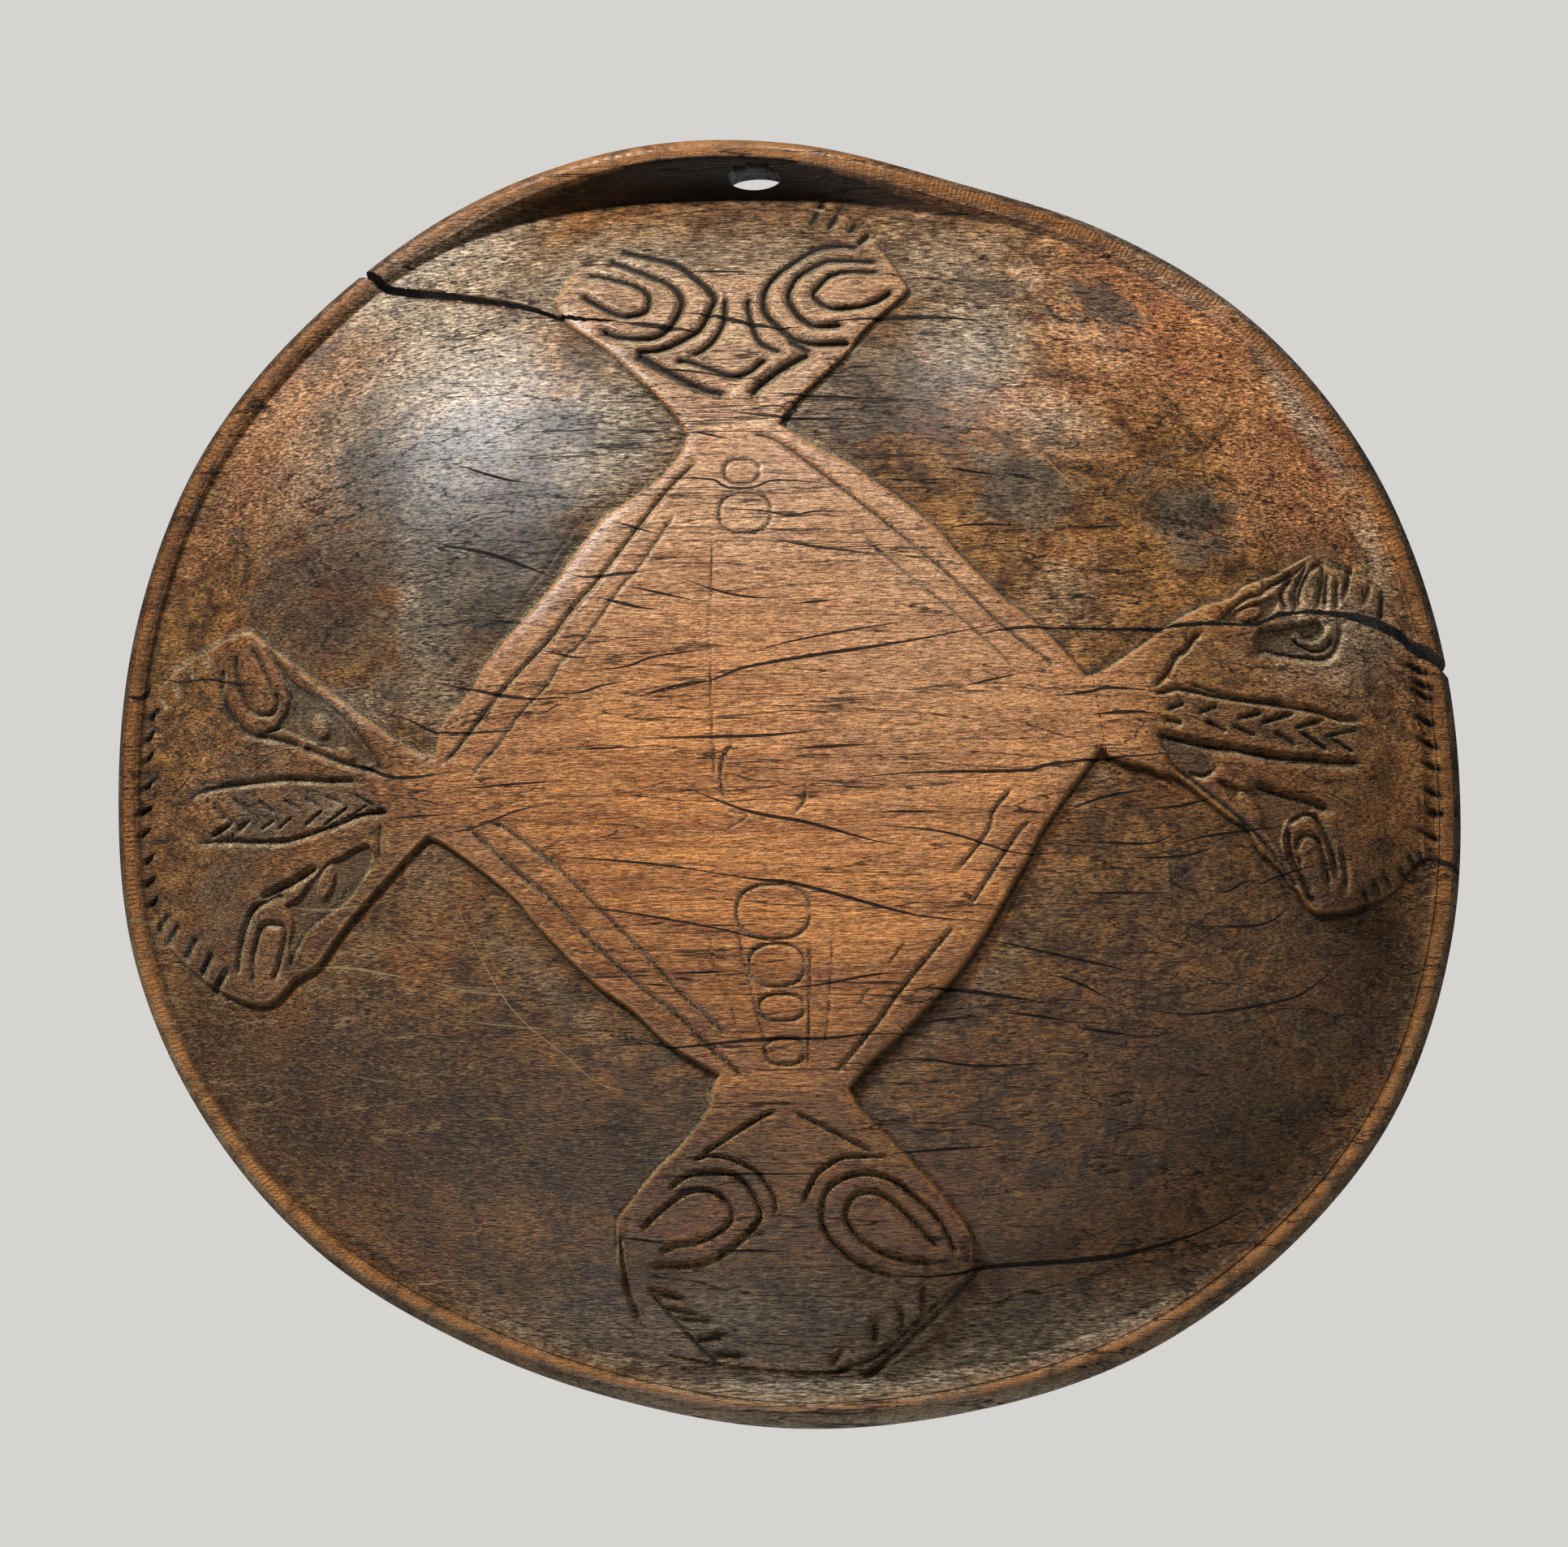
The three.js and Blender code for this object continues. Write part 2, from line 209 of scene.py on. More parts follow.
# %% Outlines of the lozenge and the four heads
OUTLINES = {
    "lozenge": [
        [(-34, 122), (-35, 117), (-39.5, 110), (-46.5, 103), (-64.5, 90), (-83.5, 64.5), (-105.5, 39),
         (-111.5, 29.5), (-123, 15), (-125, 5)],
        [(-125, 5), (-127.5, -25)],
        [(-127.5, -25), (-123.5, -26.5), (-105, -40), (-93, -50.5), (-88.5, -56.5), (-66.5, -79),
         (-52, -89.5), (-40.5, -100.5), (-21.5, -112)],
        [(-21.5, -112), (-23, -115), (26.5, -119), (26, -117)],
        [(26, -117), (34, -107.5), (47.5, -95.5), (69.5, -71), (90.5, -36), (96.5, -24.5), (117, 4.5)],
        [(117, 4.5), (112, 31)],
        [(112, 31), (100.5, 44), (89, 54.5), (83, 59), (65.5, 76.5), (60, 83.5), (40.5, 100), (25.5, 111),
         (18.5, 114.5), (0.5, 126)],
        [(0.5, 126), (-34, 122)],
    ],
    "head_top": [
        [(-34, 122), (-37, 128.5), (-48, 140.5), (-67, 158.5), (-78, 166.5), (-83, 172), (-86, 178.5)],
        [(-86, 178.5), (-80, 190), (-75.5, 201), (-68.5, 206.5), (-64.5, 211.5), (-52.5, 215.5),
         (-37.5, 218.5), (-22, 220), (-3.5, 218.5), (8.5, 216.5), (21, 213), (34, 200), (46, 181)],
        [(46, 181), (43.5, 177), (30.5, 163.5), (23, 152.5), (6, 134.5), (0.5, 126)],
        [(0.5, 126), (0, 117), (-33.5, 114.5), (-34, 122)],
    ],
    "head_left": [
        [(-125, 5), (-130, 6), (-141.5, 13), (-190.5, 50), (-197.5, 56)],
        [(-197.5, 56), (-201.5, 56), (-208, 54), (-227.5, 45), (-238, 37), (-240, 33), (-241, 22.5),
         (-241, -8), (-240, -32.5), (-239, -44.5), (-233.5, -54), (-231.5, -59.5), (-214, -74.5),
         (-200.5, -81), (-194, -82.5), (-187.5, -81), (-179.5, -74), (-170.5, -69.5), (-163.5, -61),
         (-157.5, -54), (-129.5, -26.5), (-127.5, -25)],
        [(-127.5, -25), (-117.5, -27.5), (-116, 6.5), (-125, 5)],
    ],
    "head_right": [
        [(112, 31), (118, 33.5), (124, 37.5), (135.5, 46), (141.5, 51), (153, 58), (164, 62), (167.5, 66),
         (172, 68.5), (176.5, 70), (193, 80.5)],
        [(193, 80.5), (196, 77.5), (212, 72), (218, 67.5), (228, 51), (235, 31.5), (237.5, 16.5),
         (238.5, -1.5), (238, -16.5), (236, -30.5)],
        [(236, -30.5), (231.5, -32), (228.5, -34.5), (221, -44), (207.5, -50.5), (197, -52.5),
         (192.5, -52.5), (189.5, -50), (187, -45.5), (183.5, -42.5), (181, -38.5), (173, -31),
         (168.5, -23), (161.5, -19), (142.5, -4.5), (137, -4), (134.5, -2.5), (120.5, 1), (117, 4.5)],
        [(117, 4.5), (109, 3.5), (103.5, 30), (112, 31)],
    ],
    "head_bottom": [
        [(-21.5, -112), (-24, -117), (-24.5, -122), (-29.5, -129), (-35.5, -136), (-47, -146.5),
         (-56.5, -157.5), (-60, -161.5), (-61, -166.5)],
        [(-61, -166.5), (-61.5, -178), (-61, -181.5), (-59, -186), (-56, -196), (-53, -199.5),
         (-51, -204.5), (-42.5, -212), (-30.5, -216.5), (-3.5, -220), (8, -220), (20, -218.5), (35, -215),
         (48.5, -208.5), (53, -205), (60.5, -196.5), (67, -187), (69, -178.5)],
        [(69, -178.5), (67.5, -166.5), (49.5, -144.5), (30, -124), (26, -117)],
        [(26, -117), (24, -108), (-20, -106.5), (-21.5, -112)],
    ],
}
outlines = {
    name: np.vstack([smooth(stretch)[:-1] for stretch in stretches]) for name, stretches in OUTLINES.items()
}
print({name: len(line) for name, line in outlines.items()})

# %% Grooves: width and depth in mm, then the points
LOZENGE_CUTS = [
    (2.4, 1.1, [(-30, 111), (-40.5, 100), (-63.5, 69), (-75.5, 55), (-81.5, 46.5), (-99, 28),
     (-117.5, 5.5), (-121.5, 2)]),
    (1.8, 0.7, [(-37.5, 91), (-50.5, 71), (-56, 65), (-69.5, 45.5), (-78, 37), (-82.5, 29.5), (-93, 18.5),
     (-102, 6.5), (-106.5, 2), (-111, -4)]),
    (2.4, 1.1, [(-9.5, 122), (-2, 120), (9.5, 112), (60, 70), (83.5, 47.5), (101, 34)]),
    (1.8, 0.7, [(32.5, 82.5), (37, 77), (70, 49), (86, 34)]),
    (2.1, 0.9, [(91.5, -22), (87.5, -26), (70, -52.5)]),
    (2.1, 0.9, [(64, -60), (42.5, -85.5), (37.5, -92.5), (21.5, -111.5)]),
    (1.8, 0.8, [(85, -10.5), (78, -19.5), (77, -25), (66, -39.5)]),
    (1.2, 0.4, [(45.5, -67), (42, -71.5)]),
    (1.2, 0.4, [(34, -81), (29.5, -88.5)]),
    (2.7, 1.2, [(-113.5, -21), (-93, -39.5), (-81, -49), (-72, -59), (-62, -68.5), (-45.5, -83.5),
     (-34, -92.5), (-22.5, -104), (-17, -108.5), (-12.5, -113)]),
    (2.4, 1, [(-103, -21), (-97.5, -23), (-93, -26.5), (-78, -38.5), (-42.5, -74), (-34, -83.5),
     (-18, -98)]),
    (1.2, 0.5, [(-23, 81), (-23.5, 40.5), (-21.5, -6)]),
    (1.8, 0.8, [(-15, 6), (-18, 2), (-19.5, -6), (-18, -14)]),
    (1.5, 0.7, [(11.5, -9.5), (11, -14.5), (7, -19.5)]),
    (1.5, 0.5, [(-18, -18), (-10, -20), (-17.5, -25)]),
    (1.5, 0.6, [(12.5, -66.5), (12, -92), (11, -109)]),
    (1.5, 0.6, [(-13.5, -60.5), (-11, -72), (-3, -106)]),
    (1.2, 0.4, [(-23.5, -62), (-21.5, -74), (-17.5, -84), (-13, -99)]),
    (1.2, 0.4, [(21, -59.5), (19.5, -84), (17.5, -102)]),
]
HEAD_TOP_CUTS = [
    (2.1, 1, [(-63.5, 199.5), (-46.5, 194.5), (-40, 192), (-31.5, 184.5), (-28, 181), (-25.5, 176.5),
     (-26.5, 173), (-29.5, 165.5), (-32.5, 162.5), (-44, 156.5), (-54.5, 155.5)]),
    (2.1, 1, [(-67.5, 194.5), (-63, 193.5), (-45.5, 185), (-41, 182), (-38.5, 178.5), (-37.5, 174.5),
     (-39, 170), (-41, 166), (-44.5, 162.5), (-49, 161), (-61, 162), (-67.5, 165)]),
    (1.8, 0.9, [(-75, 189), (-69, 188), (-56, 183.5), (-51.5, 180.5), (-50, 178), (-50, 173.5),
     (-52.5, 171.5), (-58, 170.5), (-63, 172), (-72, 177.5), (-76, 181)]),
    (2.1, 1, [(27.5, 198.5), (20, 199.5), (11, 198), (-2, 188), (-5, 184), (-7, 179), (-7, 173.5),
     (-5.5, 169.5), (3.5, 160.5), (8, 158.5), (14, 157.5), (26, 158)]),
    (2.1, 1, [(34.5, 192.5), (20.5, 193), (14.5, 192.5), (5.5, 186.5), (3, 182), (2, 177), (4, 172),
     (8, 167.5), (12.5, 165), (23, 165.5)]),
    (1.8, 0.9, [(35.5, 188), (22, 188), (16.5, 186), (13.5, 182.5), (11, 178.5), (13.5, 175), (18, 172.5),
     (24, 172.5), (30, 173.5), (34.5, 175.5), (40.5, 180)]),
    (1.8, 0.8, [(-21.5, 178), (-21.5, 167), (-23, 163), (-25.5, 159), (-29, 155.5), (-33.5, 153.5)]),
    (1.8, 0.8, [(-12, 178), (-13, 174), (-10, 162.5), (-6.5, 157.5), (1, 154)]),
    (1.8, 0.8, [(-39.5, 151.5), (-33.5, 151), (-19.5, 145.5), (-15, 145), (-10.5, 147), (-7.5, 150),
     (-4.5, 152)]),
    (2.7, 1.1, [(-54, 155.5), (-45.5, 149.5), (-28.5, 140), (-19.5, 137.5)]),
    (2.7, 1.1, [(11.5, 153.5), (7, 151.5), (-1.5, 146), (-9, 139), (-9.5, 136)]),
    (2.1, 0.9, [(2, 160), (11.5, 153.5)]),
    (2.1, 0.5, [(11.5, 216.5), (9, 210.5)]),
    (2.4, 0.7, [(18.5, 214), (16, 208.5)]),
    (2.7, 0.9, [(27, 212), (23, 205)]),
    (2.7, 0.8, [(30.5, 204.5), (27.5, 201)]),
]
HEAD_LEFT_CUTS = [
    (2.1, 0.8, [(-186, 42), (-181, 35.5), (-166.5, 26), (-157.5, 18), (-149.5, 8), (-144.5, -0.5)]),
    (2.4, 1.1, [(-209, 43.5), (-209.5, 38), (-209, 32.5), (-207, 27.5), (-204.5, 23.5), (-196, 16.5),
     (-191, 15.5), (-176.5, 11)]),
    (1.8, 0.9, [(-204, 49), (-203, 39), (-199, 28), (-195.5, 25), (-191.5, 23.5), (-188, 24.5),
     (-186.5, 27.5), (-187.5, 33)]),
    (1.5, 0.8, [(-198.5, 50.5), (-193, 42.5), (-188, 31)]),
    (1.8, 0.9, [(-191, 48.5), (-187.5, 44.5), (-185, 39.5), (-183, 35), (-180, 25), (-182, 20.5),
     (-185.5, 18.5), (-192, 17)]),
    (2.4, 1, [(-223.5, -5), (-216.5, -2.5), (-193.5, -1), (-180, -1), (-167.5, -2.5), (-154.5, -3)]),
    (1.5, 0.6, [(-220, -2), (-215.5, 0.5), (-206.5, -1.5)]),
    (2.4, 1, [(-220, -21.5), (-206.5, -22), (-195.5, -23), (-182.5, -23.5), (-163.5, -19), (-152, -15.5),
     (-142, -15)]),
    (2.1, 0.9, [(-213, -8), (-206.5, -14)]),
    (2.1, 0.9, [(-205, -5.5), (-195.5, -14)]),
    (2.1, 0.9, [(-194.5, -7), (-186.5, -13.5)]),
    (2.1, 0.9, [(-184.5, -7.5), (-176, -12.5)]),
    (2.1, 0.9, [(-176, -7.5), (-168, -12)]),
    (1.8, 0.8, [(-168, -7.5), (-159.5, -11)]),
    (1.8, 0.7, [(-154.5, -8.5), (-149.5, -11.5)]),
    (2.1, 0.9, [(-211.5, -19), (-206.5, -16.5)]),
    (2.1, 0.9, [(-202.5, -19), (-196.5, -14)]),
    (2.1, 0.9, [(-193.5, -19), (-186.5, -15)]),
    (2.1, 0.9, [(-186.5, -19.5), (-179.5, -14)]),
    (2.1, 0.9, [(-176, -19), (-167, -12)]),
    (1.8, 0.8, [(-166, -17.5), (-160, -13.5)]),
    (1.8, 0.7, [(-159.5, -17), (-149.5, -11.5)]),
    (2.4, 1, [(-203, -71.5), (-200.5, -59), (-197, -50), (-194, -46.5), (-189, -44.5), (-186.5, -43.5),
     (-182.5, -43.5)]),
    (2.1, 0.9, [(-196.5, -75), (-196, -65), (-193, -55.5), (-191, -53.5), (-188, -53.5), (-184, -54.5),
     (-183, -57.5), (-186.5, -70), (-189, -74)]),
    (2.1, 0.8, [(-181.5, -70.5), (-180.5, -66), (-175, -57), (-161, -46), (-158.5, -42.5), (-154.5, -40),
     (-150, -34.5), (-148, -33.5)]),
    (2.7, 1.2, [(-193, -44), (-180, -39), (-169.5, -33.5)]),
    (1.8, 0.7, [(-145.5, -18.5), (-146, -33)]),
    (2.1, 1, [(-176.5, 11), (-167.5, 7), (-154.5, 2), (-146.5, 0)]),
    (2.4, 0.8, [(-239, 27), (-236.5, 29.5)]),
    (2.1, 0.7, [(-240.5, 19), (-238, 21.5)]),
    (2.1, 0.7, [(-241, 11), (-238.5, 13.5)]),
    (2.1, 0.7, [(-241, 1), (-238, 3)]),
    (1.8, 0.7, [(-242.5, -8.5), (-239.5, -7)]),
    (1.8, 0.7, [(-242.5, -17), (-240, -15)]),
    (2.1, 0.7, [(-240.5, -27), (-238, -25)]),
    (2.1, 0.7, [(-240.5, -35.5), (-237.5, -33.5)]),
    (2.1, 0.7, [(-238.5, -43), (-236, -41)]),
    (3, 0.9, [(-234.5, -52), (-232, -48)]),
    (3.3, 1, [(-231, -57), (-228, -52.5)]),
    (3.6, 1, [(-224, -63), (-220.5, -58)]),
    (3.6, 1, [(-217, -69), (-214, -64)]),
    (3.3, 0.9, [(-211.5, -75), (-208, -70.5)]),
]
HEAD_RIGHT_CUTS = [
    (1.8, 0.8, [(135.5, 27), (140.5, 32.5), (144, 39), (147, 41), (150, 45.5), (153, 48)]),
    (1.8, 0.8, [(159, 52), (164.5, 58), (169.5, 62), (174, 63.5), (176.5, 66), (185.5, 71.5), (192, 78)]),
    (2.1, 0.9, [(186, 71), (181.5, 64), (182.5, 60.5), (184.5, 57.5)]),
    (1.8, 0.9, [(191.5, 77), (186.5, 64.5), (187, 57.5)]),
    (1.8, 0.8, [(188.5, 58.5), (188, 63.5), (192, 73.5), (196, 76.5), (197, 73), (194.5, 59.5)]),
    (1.8, 0.9, [(198.5, 74), (197.5, 60)]),
    (1.8, 0.9, [(202, 71.5), (201.5, 60)]),
    (1.8, 1, [(206.5, 73.5), (205, 67)]),
    (1.8, 1, [(214, 70.5), (211.5, 62.5)]),
    (1.8, 0.7, [(218.5, 65), (218, 59)]),
    (2.1, 1.2, [(184.5, 48.5), (188.5, 45), (194, 43.5), (198.5, 45.5), (200, 49.5)]),
    (1.8, 0.9, [(189, 48.5), (193.5, 49.5), (195, 52), (195, 54.5)]),
    (2.7, 1, [(171.5, 41), (176, 42.5), (180.5, 41.5), (195.5, 40.5), (199, 42), (201.5, 46), (203, 54)]),
    (2.1, 0.9, [(135.5, 25.5), (139, 25.5), (143.5, 27), (148, 26.5), (158.5, 24.5), (193.5, 21),
     (202, 18.5), (206.5, 18.5), (210, 19)]),
    (1.5, 0.6, [(148, 29), (162, 25), (182, 23.5)]),
    (3.3, 1.2, [(136.5, 10), (152.5, 6.5), (165.5, 5.5), (170, 4.5), (181.5, 3), (193.5, 3), (199, 2.5),
     (210, 3)]),
    (2.4, 0.9, [(140, 19), (147, 22)]),
    (2.4, 0.9, [(151, 18), (159, 21.5)]),
    (2.4, 0.9, [(164.5, 16.5), (175, 19.5)]),
    (2.4, 0.9, [(176.5, 16.5), (183.5, 19)]),
    (2.4, 0.8, [(188, 15), (194, 17)]),
    (2.1, 0.7, [(199.5, 12.5), (206.5, 14.5)]),
    (2.4, 0.9, [(139, 16), (146.5, 14)]),
    (2.4, 0.9, [(153.5, 16), (162.5, 11.5)]),
    (2.4, 0.9, [(163, 14.5), (173, 10.5)]),
    (2.7, 1, [(178.5, 13), (187.5, 7.5)]),
    (2.4, 0.9, [(190, 12), (196, 8)]),
    (2.1, 0.8, [(201, 10.5), (206, 7.5)]),
    (2.4, 1.1, [(147.5, -2.5), (152.5, -4.5), (157.5, -1.5)]),
    (2.1, 0.8, [(138, 6.5), (141, 4), (141.5, 1), (144.5, -2.5), (164, -17.5), (175.5, -28.5), (187, -44)]),
    (2.7, 1.2, [(171, -7), (179, -10), (190.5, -12.5), (198, -15.5)]),
    (2.1, 1, [(183, -21), (188, -17.5), (191, -17), (193.5, -18.5), (197.5, -25), (201, -39)]),
    (2.1, 0.9, [(183.5, -22.5), (183.5, -28), (185, -34), (187, -37.5), (190.5, -46), (193.5, -49.5)]),
    (1.8, 0.8, [(202.5, -29.5), (204, -39), (203.5, -44.5)]),
    (1.8, 0.8, [(186.5, -31.5), (186.5, -28), (188, -25.5), (190, -24.5), (193, -25.5), (195, -28),
     (198, -43)]),
    (1.5, 0.7, [(187, -31.5), (188, -37.5), (192, -46)]),
    (1.8, 0.6, [(231, -29), (232, -31.5)]),
    (1.8, 0.7, [(227.5, -30.5), (229, -33.5)]),
    (2, 0.7, [(224, -35), (225.5, -38)]),
    (1.8, 0.7, [(218.5, -38.5), (220, -41.5)]),
    (1.8, 0.7, [(214.5, -41.5), (216, -44.5)]),
    (1.8, 0.6, [(210.5, -44.5), (211.5, -47)]),
    (2.4, 0.8, [(228, 40.5), (234, 38)]),
    (2.4, 0.8, [(231, 34.5), (236.5, 32)]),
    (2.4, 0.8, [(230, 31), (235.5, 28.5)]),
    (2.4, 0.8, [(231, 21.5), (236, 19)]),
    (2.1, 0.8, [(232.5, 13), (237.5, 10.5)]),
    (2.1, 0.8, [(233.5, 4.5), (238, 2.5)]),
    (2.1, 0.7, [(234.5, -5.5), (238.5, -7.5)]),
    (2.1, 0.7, [(235.5, -13.5), (239.5, -14.5)]),
    (2.1, 0.7, [(232, -21), (237, -23)]),
]
HEAD_BOTTOM_CUTS = [
    (2.1, 0.9, [(-28, -140), (-5.5, -126.5), (-1, -125)]),
    (2.1, 0.9, [(6, -125.5), (33.5, -139.5)]),
    (1.8, 0.9, [(-31, -142), (-26.5, -140.5), (-20.5, -141), (-15, -143), (-10.5, -145), (-7, -148),
     (-2, -156.5), (-2.5, -161.5)]),
    (2.1, 1, [(-40.5, -152), (-36, -148.5), (-30.5, -146.5), (-19.5, -146.5), (-15, -148.5),
     (-11.5, -152), (-7.5, -160), (-8.5, -163.5), (-15.5, -170.5), (-25, -176.5), (-31.5, -178.5),
     (-37.5, -179), (-48, -179)]),
    (2.1, 0.9, [(-51, -166), (-47, -162), (-37.5, -155), (-33, -153), (-28.5, -152.5), (-24, -153.5),
     (-20, -156.5), (-18, -160), (-18.5, -163.5), (-22, -166.5), (-26.5, -169), (-32.5, -171),
     (-40, -172), (-44.5, -174)]),
    (1.8, 0.9, [(8, -156.5), (13.5, -147), (17.5, -144), (22, -141.5), (26, -141), (38, -141)]),
    (2.1, 1, [(62, -174), (57.5, -164.5), (45, -152.5), (40.5, -149.5), (37, -148), (30.5, -147),
     (24.5, -148), (20, -150), (16, -154), (14.5, -163), (15.5, -167), (18.5, -171.5), (22, -175),
     (27, -178.5), (38, -182.5)]),
    (2.1, 0.9, [(56, -173), (44.5, -161), (36.5, -154.5), (31, -153.5), (27, -154.5), (25, -156.5),
     (23.5, -159.5), (23, -163), (25.5, -167), (29.5, -171.5), (39.5, -176), (54, -178.5)]),
    (2.1, 0.7, [(-50, -188), (-36.5, -203.5), (-26, -214)]),
    (2.4, 0.8, [(-48, -188), (-38, -190.5)]),
    (2.4, 0.8, [(-42.5, -194), (-35.5, -195.5)]),
    (2.7, 0.8, [(-40, -197.5), (-27.5, -198.5)]),
    (2.7, 0.8, [(-34, -205.5), (-24, -203.5)]),
    (2.7, 0.8, [(-28, -210.5), (-17, -211)]),
    (2.1, 0.7, [(58, -189.5), (33.5, -210), (21.5, -215), (16.5, -216.5)]),
    (2.7, 0.9, [(49.5, -188), (49, -195)]),
    (3, 0.9, [(41, -193.5), (41.5, -201.5)]),
    (3.3, 1, [(32, -198), (31, -207)]),
    (3, 0.9, [(19.5, -208), (15, -214.5)]),
    (2.6, 1.5, [(71, -179), (62.5, -188.5), (50, -200), (38, -210.5), (27.5, -218.5)]),
    (2.6, 1.4, [(-60, -167), (-59, -179), (-57.5, -189), (-54.5, -198)]),
]
CHIPS = [
    (4.1, 0.9, [(-216.5, 49), (-215, 43.5)]),
    (2.9, 0.8, [(-224, 45), (-220.5, 40)]),
    (2.9, 0.8, [(-230, 39.5), (-227, 33.5)]),
    (2.4, 0.7, [(-235, 34.5), (-232.5, 30)]),
    (2.1, 0.3, [(208.5, 73), (206.5, 67.5)]),
    (1.8, 0.3, [(215.5, 69.5), (212.5, 62)]),
    (2.1, 0.3, [(220.5, 62), (218.5, 58)]),
]
print("grooves:", len(LOZENGE_CUTS + HEAD_TOP_CUTS + HEAD_LEFT_CUTS + HEAD_RIGHT_CUTS + HEAD_BOTTOM_CUTS))

# %% [markdown]
# ## Cells, sunk grounds and cracks
# A column of small squarish cells runs down the lozenge. The side heads have sunk grounds with
# rounded swellings left standing in them, which give their eyes and mouths some depth. Last
# come the drying checks and the scratches. All are lists of points again, one line each, so
# that each mark can be moved by itself.

# %% Cells of the middle column: centre and half sizes
CELLS = [
    (-13, 107.5, 6.4, 4.7),
    (-11.5, 91.5, 9.4, 7.6),
    (-0.5, -54.5, 13.2, 9.7),
    (0.5, -73.5, 9.9, 7.6),
    (2, -88.5, 8.2, 4.7),
    (3, -104, 7.0, 4.7),
]

# %% Sunk grounds: depth, then the points; bosses: centre, half sizes and turn in degrees
SUNK = [
    (1.5, [(-183.5, 36), (-176, 33), (-164.5, 23.5), (-155, 12.5), (-147, 3.5), (-155, 2), (-164.5, 8),
     (-172.5, 11.5), (-182.5, 16), (-187, 19.5), (-183.5, 25), (-182.5, 31)]),
    (1.4, [(-161, -30), (-151, -26), (-147.5, -30), (-151.5, -39.5), (-159.5, -48.5), (-167.5, -53.5),
     (-175.5, -59), (-180.5, -66), (-182.5, -61.5), (-180.5, -52.5), (-183.5, -46.5), (-178.5, -44.5),
     (-172, -37), (-165.5, -31.5)]),
    (0.8, [(-220.5, -3), (-210, -1.5), (-200, -1.5), (-167.5, -2), (-150, -4), (-147.5, -7),
     (-150, -14.5), (-161, -20), (-177, -23.5), (-200, -23), (-203, -14), (-211.5, -7.5)]),
    (1.5, [(171.5, 44.5), (173.5, 50.5), (183, 52.5), (188, 54), (197.5, 56), (200, 54), (199, 49),
     (196, 44), (189.5, 41.5), (177, 41)]),
    (1.4, [(158.5, 52.5), (164, 57.5), (174, 61.5), (181, 65), (183, 63.5), (181, 59.5), (178.5, 55),
     (169, 52)]),
    (1.5, [(136, 10.5), (149.5, 6.5), (155, 2.5), (157.5, -3.5), (152.5, -4), (146.5, -3), (142, 1.5),
     (138, 6)]),
    (1.3, [(157.5, -5.5), (168.5, -8), (173, -6.5), (182.5, -10), (195, -13.5), (192, -16.5),
     (185.5, -18.5), (182.5, -22), (181.5, -28.5), (182, -33), (176, -25.5), (166.5, -16.5)]),
    (0.7, [(136.5, 25), (142, 25.5), (170, 23.5), (208.5, 18), (217, 15.5), (214, 4.5), (182.5, 4),
     (149.5, 8.5), (138.5, 16.5)]),
]
BOSSES = [
    (-169, 18, 3.9, 5.4, 20),
    (-159, 7, 4.5, 1.8, -35),
    (-166.5, -39.5, 3.3, 8.1, -20),
    (170.5, 56, 5.4, 2.7, 20),
    (170, -15.5, 3.3, 8.1, 35),
]
RING = [(196.5, 55.5), (198.5, 53), (198.5, 49), (194, 45.5), (190, 45.5), (187, 48.5)]
print("sunk grounds:", len(SUNK), "bosses:", len(BOSSES))

